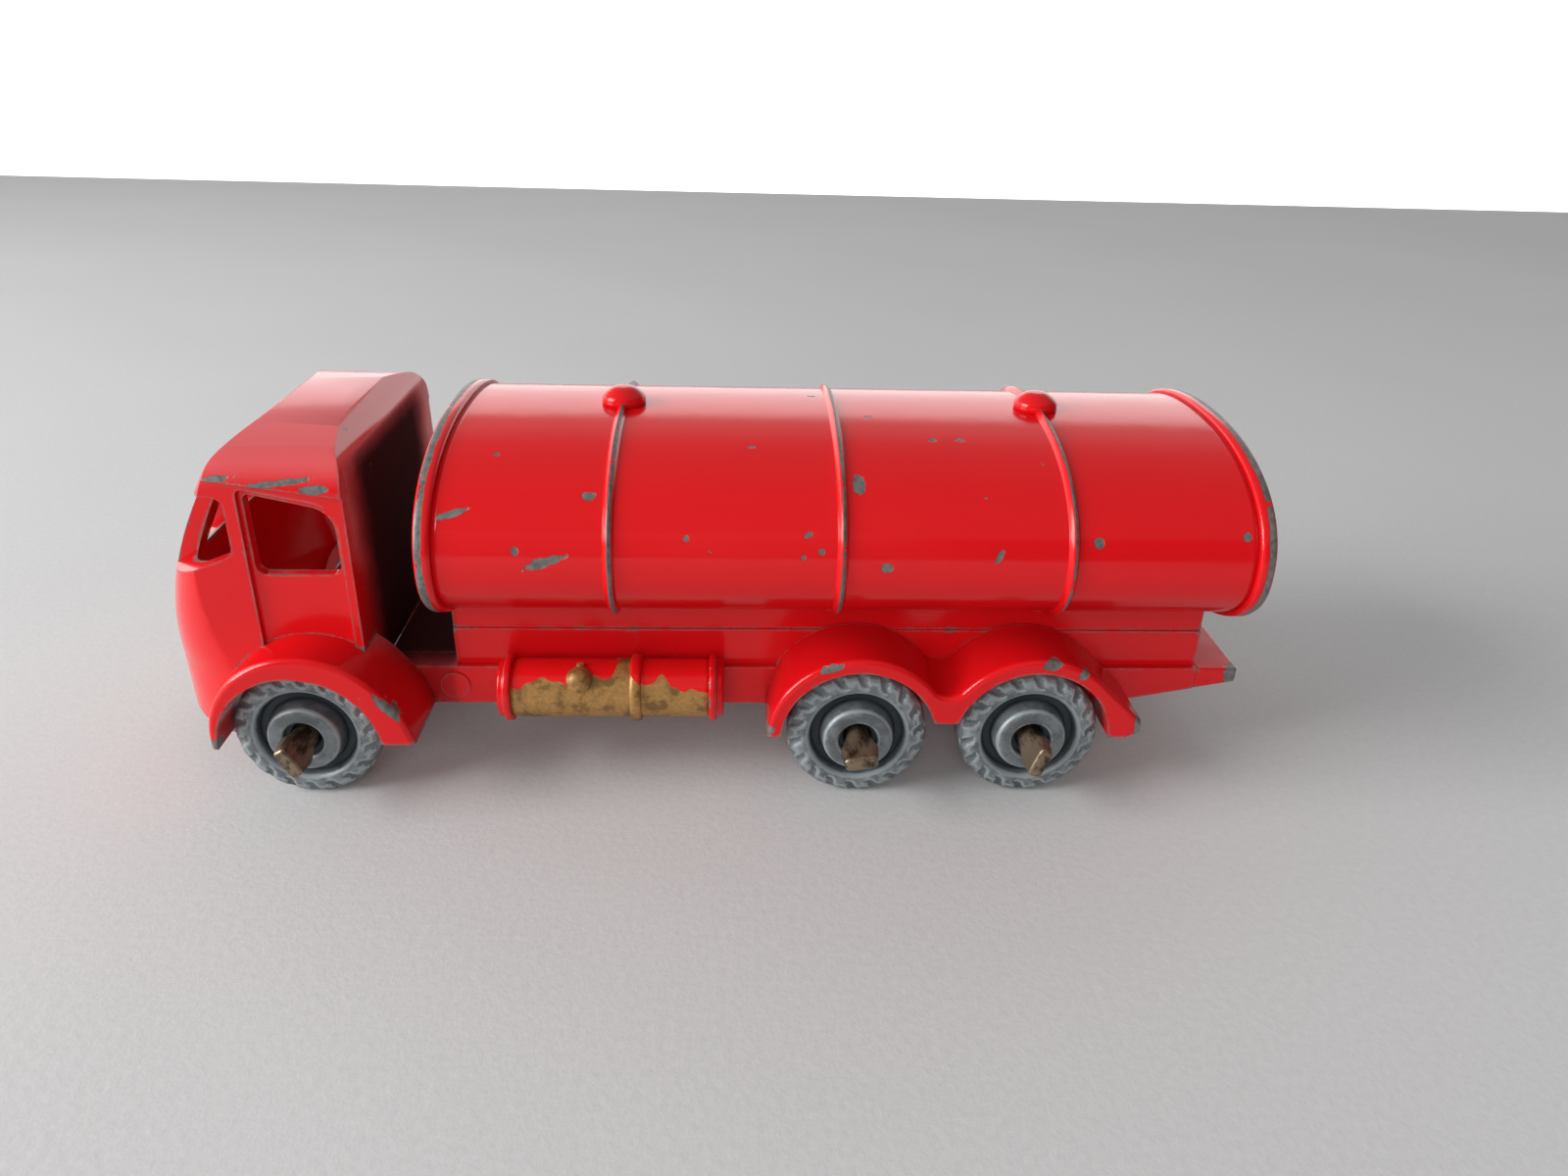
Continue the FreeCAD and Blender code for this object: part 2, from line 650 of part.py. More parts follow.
# ---------------------------------------------------------------- rear mudguards
def rear_tip(y0, y1):
    """Flared tip behind the rear arch."""
    centre = V(rear_axle_x, y0, axle_z)
    outer = arch_radius + rear_guard_thickness
    tip_x = rear_axle_x - outer - rear_tip_reach
    top = axle_z + rear_tip_height
    low = axle_z + rear_guard_end_height
    points = [radial_point(centre, outer, math.radians(rear_tip_root_angle)), V(tip_x, y0, top),
              V(tip_x, y0, top - rear_tip_depth), V(tip_x + rear_tip_foot, y0, low),
              V(rear_axle_x, y0, low)]
    return prism(polygon_wire(points), V(0, y1 - y0, 0))


def rear_mudguard():
    """Left rear mudguard: two arches joined by a web, one over each rear wheel."""
    y0 = sill_half_width
    y1 = rear_guard_half_width
    outer = arch_radius + rear_guard_thickness
    middle_x = (middle_axle_x + rear_axle_x) / 2.0
    guard = cylinder_y(middle_axle_x, axle_z, outer, y0, y1)
    guard = guard.fuse(cylinder_y(rear_axle_x, axle_z, outer, y0, y1))
    valley = [e for e in guard.Edges if abs(e.BoundBox.XMin - middle_x) < 0.01
              and e.BoundBox.YLength > 1.0 and e.BoundBox.ZMin > axle_z]
    guard = guard.makeFillet(valley_radius, valley).fuse(rear_tip(y0, y1)).removeSplitter()
    rims = [e for e in guard.Edges if e.BoundBox.YMin > y1 - 1e-3 and e.BoundBox.ZMax > axle_z + 1.0
            and isinstance(e.Curve, Part.Circle)]
    guard = guard.makeFillet(rounding(guard_lip_rounding, rear_guard_thickness), rims)
    for x in (middle_axle_x, rear_axle_x):
        guard = guard.cut(cylinder_y(x, axle_z, arch_radius, y0 - 1, y1 + 1))
    reach = 2 * outer
    guard = guard.cut(box(rear_axle_x - reach, middle_axle_x + reach, y0 - 1, y1 + 1, -reach,
                          axle_z + rear_guard_end_height))
    guard = guard.cut(box(rear_axle_x, middle_axle_x, y0 - 1, y1 + 1, -reach,
                          axle_z + rear_guard_web_height))
    rail = box(tail_x, nose_x, 0, frame_half_width, 0, rail_top_z)
    return guard.cut(rail)


# ---------------------------------------------------------------- cab shell
def cab_shell():
    """Hollow cab, open underneath, with its windows, door recesses and wheel arches."""
    z0 = cab_skirt_z
    shell = cab_block(0, z0)
    door = door_cutter().cut(cab_block(door_recess, z0 - 1.0))
    shell = shell.cut(door).cut(mirror_y(door))
    shell = shell.fuse(door_handle()).fuse(mirror_y(door_handle()))
    shell = shell.cut(cab_block(cab_wall, z0 - 1.0))
    shell = shell.cut(door_window_cutter())
    pane = windscreen_cutter()
    shell = shell.cut(pane).cut(mirror_y(pane))
    hood = front_guard_hood(frame_half_width, 2 * cab_half_width)
    shell = shell.cut(hood).cut(mirror_y(hood))
    under = box(cab_back_x - 1.0, front_axle_x + rail_front_reach, -frame_half_width, frame_half_width,
                z0 - 2.0, rail_top_z)
    return shell.cut(under)


def door_handle():
    """Small level grip on the left door."""
    x0 = cab_back_x + cab_back_ridge + handle_from_ridge
    z0 = eave_z - window_sill_drop - handle_drop
    bar = box(x0, x0 + handle_length, cab_eave_half_width - 1.0, cab_half_width + 1.0, z0, z0 + handle_height)
    skin = cab_block(door_recess - handle_relief, z0 - 2.0)
    return bar.common(skin)


def radiator_grille():
    """Upright bars on the nose, standing a little proud of it."""
    z0 = axle_z + grille_base
    z1 = z0 + grille_height
    pad = cab_block(-grille_relief, cab_skirt_z).cut(cab_block(0, cab_skirt_z - 1.0))
    pad = pad.common(box(nose_x - grille_reach, nose_x + 1.0, -grille_half_width, grille_half_width, z0, z1))
    pitch = 2 * grille_half_width / grille_bars
    depth_box = cab_block(-grille_slot_floor, cab_skirt_z - 1.0)
    for i in range(1, grille_bars):
        y = -grille_half_width + i * pitch
        slot = box(nose_x - grille_reach, nose_x + 1.0, y - grille_slot / 2.0, y + grille_slot / 2.0,
                   z0 + grille_slot, z1 - grille_slot)
        pad = pad.cut(slot.cut(depth_box))
    return pad


# ---------------------------------------------------------------- fuel tanks
def fuel_stations():
    """Front end, rear end, and the axis of the fuel tank."""
    front = front_guard_tail(0)[2].x - fuel_front_gap
    rear = middle_axle_x + arch_radius + rear_guard_thickness + fuel_rear_gap
    return front, rear, frame_half_width + fuel_standoff, rail_bottom_z + fuel_height


def outside_rail(shape):
    """The part of a shape that lies outside the left rail."""
    reach = overall_length
    return shape.common(box(-reach, reach, frame_half_width, reach, -reach, reach))


def fuel_strap_x():
    """Middle of the strap."""
    front, rear = fuel_stations()[:2]
    return front + (rear - front) * fuel_mid_strap_share


def fuel_barrel():
    """Left fuel tank between its two ends."""
    front, rear, y, z = fuel_stations()
    return outside_rail(cylinder_x(y, z, fuel_radius, rear + fuel_end_length, front - fuel_end_length))


def fuel_ends():
    """Left fuel tank's two ends, each a rounded cap with a flange."""
    front, rear, y, z = fuel_stations()
    caps = []
    for x, inward in ((front, -1), (rear, 1)):
        inner = x + inward * fuel_end_length
        x0, x1 = sorted((x, inner))
        cap = cylinder_x(y, z, fuel_radius, x0, x1)
        rim = [e for e in cap.Edges if abs(e.BoundBox.XMin - x) < 1e-3 and abs(e.BoundBox.XMax - x) < 1e-3]
        cap = cap.makeFillet(min(fuel_end_rounding, 0.9 * fuel_end_length), rim)
        flange_0, flange_1 = sorted((inner, inner - inward * fuel_flange_width))
        caps.append(outside_rail(cap.fuse(cylinder_x(y, z, fuel_strap_radius, flange_0, flange_1))))
    return Part.makeCompound(caps)


def fuel_strap():
    """Left fuel tank's middle strap."""
    front, rear, y, z = fuel_stations()
    x = fuel_strap_x()
    ring = cylinder_x(y, z, fuel_strap_radius, x - fuel_strap_width / 2.0, x + fuel_strap_width / 2.0)
    return outside_rail(ring.cut(cylinder_x(y, z, fuel_radius, rear, front)))


def fuel_filler():
    """Left fuel tank's filler knob, with its thin breather pipe above it."""
    front, rear, y, z = fuel_stations()
    angle = math.radians(fuel_knob_angle)
    reach = fuel_radius - fuel_knob_sink
    flange_x = front - fuel_end_length
    strap_x = fuel_strap_x() + fuel_strap_width / 2.0
    centre = V(flange_x + (strap_x - flange_x) * fuel_knob_share, y + reach * math.cos(angle),
               z + reach * math.sin(angle))
    knob = Part.makeSphere(fuel_knob_radius, centre)
    pipe = Part.makeCylinder(vent_radius, vent_height, centre - V(0, vent_setin, 0))
    return outside_rail(knob.fuse(pipe).cut(cylinder_x(y, z, fuel_radius, rear, front)))


# ---------------------------------------------------------------- wheels and axles
def wheel(x):
    """Left wheel: tyre and hub in one casting, with notches round the outer shoulder."""
    bore = axle_radius + wheel_bore_clearance
    groove_y = tyre_outer_y - groove_depth
    rim = wheel_radius - tyre_wall
    profile = [(bore, hub_inner_y), (hub_radius, hub_inner_y), (hub_radius, tyre_inner_y),
               (wheel_radius - tyre_shoulder_depth, tyre_inner_y),
               (wheel_radius, tyre_inner_y + tyre_shoulder_width),
               (wheel_radius, tyre_outer_y - tyre_shoulder_width),
               (wheel_radius - tyre_crown_depth, tyre_outer_y - tyre_crown_width),
               (wheel_radius - tyre_shoulder_depth, tyre_outer_y), (rim, tyre_outer_y),
               (rim - groove_slope, groove_y), (hub_radius + groove_slope, groove_y),
               (hub_radius, groove_y + groove_slope), (hub_radius, hub_outer_y - hub_edge),
               (hub_radius - groove_slope, hub_outer_y), (hub_mouth_radius, hub_outer_y),
               (bore, hub_outer_y - hub_mouth_depth)]
    points = [V(x + r, y, axle_z) for r, y in profile]
    body = Part.Face(polygon_wire(points)).revolve(V(x, 0, axle_z), V(0, 1, 0), 360)
    return body.cut(Part.makeCompound(notches(x)))


def notches(x):
    """Slanting round-bottomed cuts across the tyre's outer shoulder."""
    slant = V(-1, 0, 1)
    slant.normalize()
    cutters = []
    for i in range(notch_count):
        angle = 360.0 * i / notch_count
        centre = V(wheel_radius - notch_setin, 0, 0)
        start = centre - V(slant.x, slant.z, 0) * (notch_length / 2.0)
        cutter = Part.makeCylinder(notch_radius, notch_length, V(start.x, tyre_outer_y + start.y, 0),
                                   V(slant.x, slant.z, 0))
        cutter.rotate(V(0, 0, 0), V(0, 1, 0), angle)
        cutter.translate(V(x, 0, axle_z))
        cutters.append(cutter)
    return cutters


def crimped_end():
    """Flattened end of an axle, on +Y, wider than the wheel's bore one way and thin the other."""
    y0 = hub_outer_y + crimp_gap
    y1 = y0 + crimp_length
    belly = y0 + crimp_length * crimp_belly_share
    wide = [(axle_radius, y0), (crimp_half_width, belly), (crimp_tip_half_width, y1)]
    thin = [(axle_radius, y0), (crimp_belly_half_thickness, belly), (crimp_half_thickness, y1)]
    reach = 2 * crimp_half_width
    across = [V(-w, y, -reach) for w, y in wide] + [V(w, y, -reach) for w, y in reversed(wide)]
    through = [V(-reach, y, -t) for t, y in thin] + [V(-reach, y, t) for t, y in reversed(thin)]
    slab = prism(polygon_wire(through), V(2 * reach, 0, 0))
    return prism(polygon_wire(across), V(0, 0, 2 * reach)).common(slab)


def axle(x, turn):
    """Axle right across the lorry, with both ends crimped."""
    y1 = hub_outer_y + crimp_gap
    rod = cylinder_y(0, 0, axle_radius, -y1, y1)
    end = crimped_end()
    rod = rod.fuse(end).fuse(mirror_y(end)).removeSplitter()
    rod.rotate(V(0, 0, 0), V(0, 1, 0), turn)
    rod.translate(V(x, 0, axle_z))
    return rod


# ---------------------------------------------------------------- the whole lorry
def build():
    """Every sub-part by its node name."""
    nodes = {"cab_shell": cab_shell(), "radiator_grille": radiator_grille(),
             "tank_barrel": tank_barrel(),
             "tank_front_end": tank_end(tank_front_x, -1), "tank_rear_end": tank_end(tank_rear_x, 1),
             "tank_cradle": tank_cradle(), "front_deck": front_deck(),
             "front_cross_member": front_cross_member(), "rear_cross_member": rear_cross_member(),
             "tail_plate": tail_plate()}
    for place, x in band_xs.items():
        nodes["tank_band_" + place] = tank_band(x)
    for place in ("front", "rear"):
        nodes["filler_cap_" + place] = filler_cap(band_xs[place])
    for name, shape in (("side_frame", side_frame()), ("front_mudguard", front_mudguard()),
                        ("rear_mudguard", rear_mudguard()), ("fuel_tank", fuel_barrel()),
                        ("fuel_tank_ends", fuel_ends()), ("fuel_tank_strap", fuel_strap()),
                        ("fuel_filler", fuel_filler())):
        nodes[name + "_left"] = shape
        nodes[name + "_right"] = mirror_y(shape)
    for place, x in axle_xs.items():
        nodes[place + "_axle"] = axle(x, crimp_turns[place])
        left = wheel(x)
        nodes[place + "_wheel_left"] = left
        nodes[place + "_wheel_right"] = mirror_y(left)
    return nodes


def main():
    os.makedirs("parts", exist_ok=True)
    for name, shape in build().items():
        shape.exportStep("parts/" + name + ".step")
        print(name, "valid" if shape.isValid() else "NOT VALID", len(shape.Solids), round(shape.Volume, 2))


main()
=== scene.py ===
"""Looks of a die-cast toy road tanker lorry: glossy red enamel over a zinc casting, a bronze-painted
fuel tank each side, bare grey wheels and crimped steel axles.

Laid out as an add-on: property groups hold what a user would change, each piece or group of like
pieces has an operator, and a panel in the sidebar lists them. Lengths are metres.
"""

import math

import bmesh
import bpy
import numpy as np
from bpy.props import FloatProperty, FloatVectorProperty, IntProperty, PointerProperty
from mathutils import Matrix, Vector


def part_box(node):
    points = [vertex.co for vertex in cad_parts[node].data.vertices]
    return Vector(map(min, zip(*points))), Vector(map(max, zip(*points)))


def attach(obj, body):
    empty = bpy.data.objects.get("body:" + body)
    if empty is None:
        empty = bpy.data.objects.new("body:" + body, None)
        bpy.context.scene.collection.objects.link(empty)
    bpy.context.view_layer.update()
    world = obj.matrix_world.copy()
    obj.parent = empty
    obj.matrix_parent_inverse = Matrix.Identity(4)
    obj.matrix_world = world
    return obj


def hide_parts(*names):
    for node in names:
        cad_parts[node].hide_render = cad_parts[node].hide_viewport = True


bl_info = {
    "name": "Toy Tanker Lorry",
    "version": (1, 0, 0),
    "blender": (4, 5, 0),
    "location": "View3D > Sidebar > Tanker",
    "description": "Builds the enamelled castings, wheels, axles and stage of a die-cast toy tanker",
    "category": "Add Mesh",
}

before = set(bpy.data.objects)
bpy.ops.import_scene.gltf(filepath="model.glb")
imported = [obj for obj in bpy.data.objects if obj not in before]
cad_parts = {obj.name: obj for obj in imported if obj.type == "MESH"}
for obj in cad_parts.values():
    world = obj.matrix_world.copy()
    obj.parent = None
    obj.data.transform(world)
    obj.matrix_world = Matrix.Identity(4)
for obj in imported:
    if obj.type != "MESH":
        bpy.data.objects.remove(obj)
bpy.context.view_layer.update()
MM = 0.001
PAINT_SHEEN = 0.36
BODY = "lorry_body"
SIDES = ("left", "right")
AXLES = ("front", "middle", "rear")


# ---- settings
class EnamelSettings(bpy.types.PropertyGroup):
    """The red paint and how worn it is."""

    colour: FloatVectorProperty(name="Enamel", description="Colour of the paint", size=4, subtype="COLOR",
                                default=(0.66, 0.006, 0.008, 1.0))
    deep_colour: FloatVectorProperty(name="Thick enamel", description="Paint where it lies thick", size=4,
                                     subtype="COLOR", default=(0.52, 0.003, 0.009, 1.0))
    chip_colour: FloatVectorProperty(name="Bare zinc", description="Metal in the chips", size=4,
                                     subtype="COLOR", default=(0.21, 0.205, 0.195, 1.0))
    gloss: FloatProperty(name="Roughness", description="Roughness of sound paint", min=0.02, max=1.0,
                         default=0.16)
    edge: FloatProperty(name="Edge rounding", description="Radius of the casting's painted edges",
                        unit="LENGTH", min=0.0, default=0.13 * MM)
    wear: FloatProperty(name="Edge wear", description="How much paint has gone from the edges",
                        subtype="FACTOR", min=0.0, max=1.0, default=0.5)


class TankSettings(bpy.types.PropertyGroup):
    """Shape of the big tank."""

    roundness: FloatProperty(name="Roundness", description="Exponent of the section; 2 is an ellipse",
                             min=1.5, max=6.0, default=2.23)
    widest: FloatProperty(name="Widest level", description="Height of the widest level, as a share",
                          subtype="FACTOR", min=0.2, max=0.8, default=0.4573)
    unevenness: FloatProperty(name="Hoop unevenness", description="Waver in the height of the cast hoops",
                              unit="LENGTH", min=0.0, default=0.05 * MM)
    steps: IntProperty(name="Steps round", description="Points round the section", min=32, default=288)


class WheelSettings(bpy.types.PropertyGroup):
    """Shape of the wheels and of the axle ends."""

    tyre_width: FloatProperty(name="Tyre width", description="Across the tread", unit="LENGTH",
                              default=2.6 * MM)
    face_inset: FloatProperty(name="Tyre face inset", description="Tyre's face inside the hub's face",
                              unit="LENGTH", default=0.5 * MM)
    tyre_wall: FloatProperty(name="Tyre wall", description="Tread to the groove", unit="LENGTH",
                             default=1.3 * MM)
    groove: FloatProperty(name="Groove depth", description="Groove between tyre and hub", unit="LENGTH",
                          default=0.75 * MM)
    hub: FloatProperty(name="Hub radius", description="Radius of the hub", unit="LENGTH", default=2.05 * MM)
    mouth: FloatProperty(name="Hole radius", description="Mouth of the axle hole", unit="LENGTH",
                         default=1.15 * MM)
    bore: FloatProperty(name="Bore radius", description="Running fit on the axle", unit="LENGTH",
                        default=0.84 * MM)
    notches: IntProperty(name="Tread notches", description="Notches round the shoulder", min=3, default=18)
    notch_depth: FloatProperty(name="Notch depth", description="Depth of each notch", unit="LENGTH",
                               default=0.17 * MM)
    rod: FloatProperty(name="Axle radius", description="Radius of the axle's rod", unit="LENGTH",
                       default=0.75 * MM)
    crimp: FloatProperty(name="Crimp length", description="Flattened end of the axle", unit="LENGTH",
                         default=2.2 * MM)


class MetalSettings(bpy.types.PropertyGroup):
    """Colours of the unpainted metals and of the bronze paint."""

    wheel: FloatVectorProperty(name="Wheel zinc", description="Bare cast wheels", size=4, subtype="COLOR",
                               default=(0.19, 0.212, 0.222, 1.0))
    # colour laid darker in the wheel's groove, axle hole and notches
    recess_dark: FloatVectorProperty(name="Grime", description="Dirt in the wheel's groove", size=4,
                               subtype="COLOR", default=(0.030, 0.038, 0.045, 1.0))
    axle: FloatVectorProperty(name="Axle", description="Tarnished axle", size=4, subtype="COLOR",
                              default=(0.30, 0.23, 0.155, 1.0))
    rust: FloatVectorProperty(name="Rust", description="Brown stain on the axle", size=4, subtype="COLOR",
                              default=(0.06, 0.038, 0.024, 1.0))
    bronze: FloatVectorProperty(name="Bronze paint", description="Paint on the fuel tanks", size=4,
                                subtype="COLOR", default=(0.50, 0.27, 0.085, 1.0))


class StageSettings(bpy.types.PropertyGroup):
    """Floor, light and camera."""

    floor: FloatVectorProperty(name="Floor", description="Pale grey card", size=4, subtype="COLOR",
                               default=(0.56, 0.56, 0.56, 1.0))
    eye: FloatVectorProperty(name="Camera", description="Where the camera stands", size=3,
                             subtype="TRANSLATION", unit="LENGTH",
                             default=(-2.10 * MM, 64.2 * MM, 41.07 * MM))
    pitch: FloatProperty(name="Pitch", description="How far the camera looks down", subtype="ANGLE",
                         default=math.radians(26.78))
    heading: FloatProperty(name="Heading", description="Turn towards the tail", subtype="ANGLE",
                           default=math.radians(2.8))
    roll: FloatProperty(name="Roll", description="Tilt about the line of sight", subtype="ANGLE",
                        default=math.radians(1.64))
    lens: FloatProperty(name="Lens", description="Focal length in millimetres on a 36 mm sensor",
                        min=5.0, default=24.76)
    key_power: FloatProperty(name="Key light", description="Window light from behind the nose, in watts",
                             min=0.0, default=1.7)
    fill_power: FloatProperty(name="Fill light", description="Soft light from the front, in watts",
                              min=0.0, default=0.66)


# ---- meshes
def grid_faces(rows, columns):
    """Quads of a grid that is closed round its columns: each joins a point to the next along both ways."""
    index = np.arange(rows * columns).reshape(rows, columns)
    beside = np.roll(index, -1, axis=1)
    return np.stack([index[:-1], beside[:-1], beside[1:], index[1:]], axis=-1).reshape(-1, 4)


def outward(points, quads, triangles):
    """Faces turned so that the enclosed volume, the sum of the faces' signed cones, is positive."""
    cones = 0.0
    for faces in (quads[:, [0, 1, 2]], quads[:, [0, 2, 3]], triangles):
        a, b, c = points[faces[:, 0]], points[faces[:, 1]], points[faces[:, 2]]
        cones += float(np.einsum("ij,ij->", a, np.cross(b, c)))
    if cones < 0:
        return quads[:, ::-1], triangles[:, ::-1]
    return quads, triangles


def skin(name, grid):
    """Closed surface through a grid of points (rows, columns, xyz).

    Columns close on themselves. The first and last rows are closed by a fan of triangles to a pole
    at the mean of the row.
    """
    rows, columns = grid.shape[:2]
    poles = np.stack([grid[0].mean(axis=0), grid[-1].mean(axis=0)])
    points = np.concatenate([grid.reshape(-1, 3), poles])
    ring = np.arange(columns)
    beside = np.roll(ring, -1)
    last = (rows - 1) * columns
    first_fan = np.stack([np.full(columns, rows * columns), beside, ring], axis=-1)
    last_fan = np.stack([np.full(columns, rows * columns + 1), ring + last, beside + last], axis=-1)
    triangles = np.concatenate([first_fan, last_fan])
    quads, triangles = outward(points - points.mean(axis=0), grid_faces(rows, columns), triangles)
    return mesh_object(name, points, quads, triangles)


def ring_skin(name, grid):
    """Closed ring through a grid of points: both its rows and its columns close on themselves."""
    looped = np.concatenate([grid, grid[:1]])
    quads = grid_faces(looped.shape[0], grid.shape[1]) % (grid.shape[0] * grid.shape[1])
    points = grid.reshape(-1, 3)
    none = np.zeros((0, 3), dtype=int)
    quads, none = outward(points - points.mean(axis=0), quads, none)
    return mesh_object(name, points, quads, none)


def placed(name, data):
    """New object with this data, put in the scene."""
    obj = bpy.data.objects.new(name, data)
    bpy.context.scene.collection.objects.link(obj)
    return obj


def mesh_object(name, points, quads, triangles):
    """Object with a smooth-shaded mesh of these points and faces."""
    mesh = bpy.data.meshes.new(name)
    mesh.from_pydata(points.tolist(), [], quads.tolist() + triangles.tolist())
    mesh.polygons.foreach_set("use_smooth", np.ones(len(mesh.polygons), dtype=bool))
    return placed(name, mesh)


def rounded(corners, radii, steps=5):
    """Open outline through 2-D corners, each turned by an arc that starts and ends its radius away.

    An arc is the quadratic blend (1-t)^2 a + 2t(1-t) b + t^2 c of its two ends and the corner.
    """
    corners = np.array(corners, dtype=float)
    t = np.linspace(0.0, 1.0, steps)[:, None]
    pieces = [corners[:1]]
    for before, here, after, radius in zip(corners[:-2], corners[1:-1], corners[2:], radii):
        back, on = before - here, after - here
        a = here + back / np.linalg.norm(back) * min(radius, 0.49 * np.linalg.norm(back))
        c = here + on / np.linalg.norm(on) * min(radius, 0.49 * np.linalg.norm(on))
        pieces.append((1 - t) ** 2 * a + 2 * t * (1 - t) * here + t ** 2 * c)
    pieces.append(corners[-1:])
    return np.concatenate(pieces)


def subdivided(outline, spacing):
    """Outline with extra points, evenly spaced by arc length and no further apart than spacing."""
    steps = np.linalg.norm(np.diff(outline, axis=0), axis=1)
    along = np.concatenate([[0.0], np.cumsum(steps)])
    extra = np.linspace(0.0, along[-1], int(along[-1] / spacing) + 2)
    places = np.unique(np.concatenate([along, extra]).round(9))
    return np.stack([np.interp(places, along, outline[:, k]) for k in (0, 1)], axis=1)


def wavering(angle, seed, amount):
    """Smooth periodic waver round a full turn: a sum of sines with phases from a seeded generator."""
    draws = np.random.default_rng(seed)
    waves = sum(math.sin(draws.uniform(0, 6.28)) * np.sin(k * angle + draws.uniform(0, 6.28)) / k
                for k in (2, 3, 5, 8, 13, 21))
    return amount * waves


def write_attribute(obj, name, values):
    """Writes one value a point, kept between 0 and 1, as a named attribute; poles get 0."""
    column = np.zeros(len(obj.data.vertices), dtype=np.float32)
    values = np.clip(values, 0.0, 1.0).ravel()
    column[:len(values)] = values
    obj.data.attributes.new(name, "FLOAT", "POINT").data.foreach_set("value", column)


def mark_wear(obj, reach):
    """Writes the attribute wear: how sharply the surface bends outwards at each point.

    For every edge the bend is the spread of its two normals along it over its squared length. A
    point's wear is the mean bend of its edges times reach, kept between 0 and 1.
    """
    mesh = obj.data
    count = len(mesh.vertices)
    places = np.empty(count * 3)
    normals = np.empty(count * 3)
    ends = np.empty(len(mesh.edges) * 2, dtype=np.int32)
    mesh.vertices.foreach_get("co", places)
    mesh.vertices.foreach_get("normal", normals)
    mesh.edges.foreach_get("vertices", ends)
    places, normals, ends = places.reshape(-1, 3), normals.reshape(-1, 3), ends.reshape(-1, 2)
    step = places[ends[:, 1]] - places[ends[:, 0]]
    spread = normals[ends[:, 1]] - normals[ends[:, 0]]
    bend = (step * spread).sum(axis=1) / np.maximum((step ** 2).sum(axis=1), 1e-14)
    total = np.bincount(ends.ravel(), weights=np.repeat(bend, 2), minlength=count)
    edges = np.bincount(ends.ravel(), minlength=count)
    write_attribute(obj, "wear", total / np.maximum(edges, 1) * reach)


def paint(obj, material, body, slot, *nodes):
    """Gives a finished piece its material by name, hangs it on its body and hides the CAD nodes that it
    stands for; slot is not used.
    """
    obj.data.materials.clear()
    obj.data.materials.append(bpy.data.materials[material])
    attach(obj, body)
    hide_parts(*nodes)


def softened(node, width):
    """Copy of a CAD casting with its points merged, its flat faces joined and its edges rounded."""
    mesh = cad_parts[node].data.copy()
    custom = mesh.attributes.get("custom_normal")
    if custom is not None:
        mesh.attributes.remove(custom)
    shape = bmesh.new()
    shape.from_mesh(mesh)
    bmesh.ops.remove_doubles(shape, verts=shape.verts, dist=1e-6)
    bmesh.ops.dissolve_limit(shape, angle_limit=math.radians(0.6), verts=shape.verts, edges=shape.edges)
    shape.to_mesh(mesh)
    shape.free()
    mesh.materials.clear()
    mesh.polygons.foreach_set("use_smooth", np.ones(len(mesh.polygons), dtype=bool))
    rough = placed(node + "_rough", mesh)
    bevel = rough.modifiers.new("Painted edges", "BEVEL")
    bevel.width = width
    bevel.segments = 3
    bevel.limit_method = "ANGLE"
    bevel.angle_limit = math.radians(32)
    bevel.miter_outer = "MITER_ARC"
    rough.modifiers.new("Flat faces stay flat", "WEIGHTED_NORMAL").keep_sharp = True
    settled = rough.evaluated_get(bpy.context.evaluated_depsgraph_get())
    final = bpy.data.meshes.new_from_object(settled)
    final.name = node + "_casting"
    bpy.data.objects.remove(rough)
    return placed(node + "_casting", final)


# ---- materials
def toned(colour, share):
    """Colour made darker or lighter by a share."""
    return tuple(min(1.0, share * c) for c in colour[:3]) + (1.0,)


class Nodes:
    """Small helper that adds nodes to one tree and links them."""

    def __init__(self, tree):
        self.tree = tree

    def node(self, kind, **values):
        """New node with its plain properties set."""
        made = self.tree.nodes.new(kind)
        for key, value in values.items():
            setattr(made, key, value)
        return made

    def plug(self, socket, value):
        """Sets a socket to a number or colour, or links it to another socket."""
        if isinstance(value, bpy.types.NodeSocket):
            self.tree.links.new(value, socket)
        else:
            socket.default_value = value

    def maths(self, operation, a, b=0.0, clamp=False):
        """One Math node."""
        made = self.node("ShaderNodeMath", operation=operation, use_clamp=clamp)
        self.plug(made.inputs[0], a)
        self.plug(made.inputs[1], b)
        return made.outputs[0]

    def between(self, value, low, high):
        """0 below low, 1 above high, smooth between; falls instead if low is above high."""
        made = self.node("ShaderNodeMapRange", interpolation_type="SMOOTHSTEP")
        self.plug(made.inputs["Value"], value)
        flipped = low > high
        made.inputs["From Min"].default_value = min(low, high)
        made.inputs["From Max"].default_value = max(low, high)
        made.inputs["To Min"].default_value = 1.0 if flipped else 0.0
        made.inputs["To Max"].default_value = 0.0 if flipped else 1.0
        return made.outputs["Result"]

    def scale(self, value, low, high):
        """Straight ramp from low to high as value goes from 0 to 1."""
        return self.maths("ADD", self.maths("MULTIPLY", value, high - low), low)

    def ragged(self, value, noise, amount):
        """Value with up to amount added or taken away as a noise goes from 0 to 1."""
        return self.maths("ADD", value, self.scale(noise, -amount, amount))


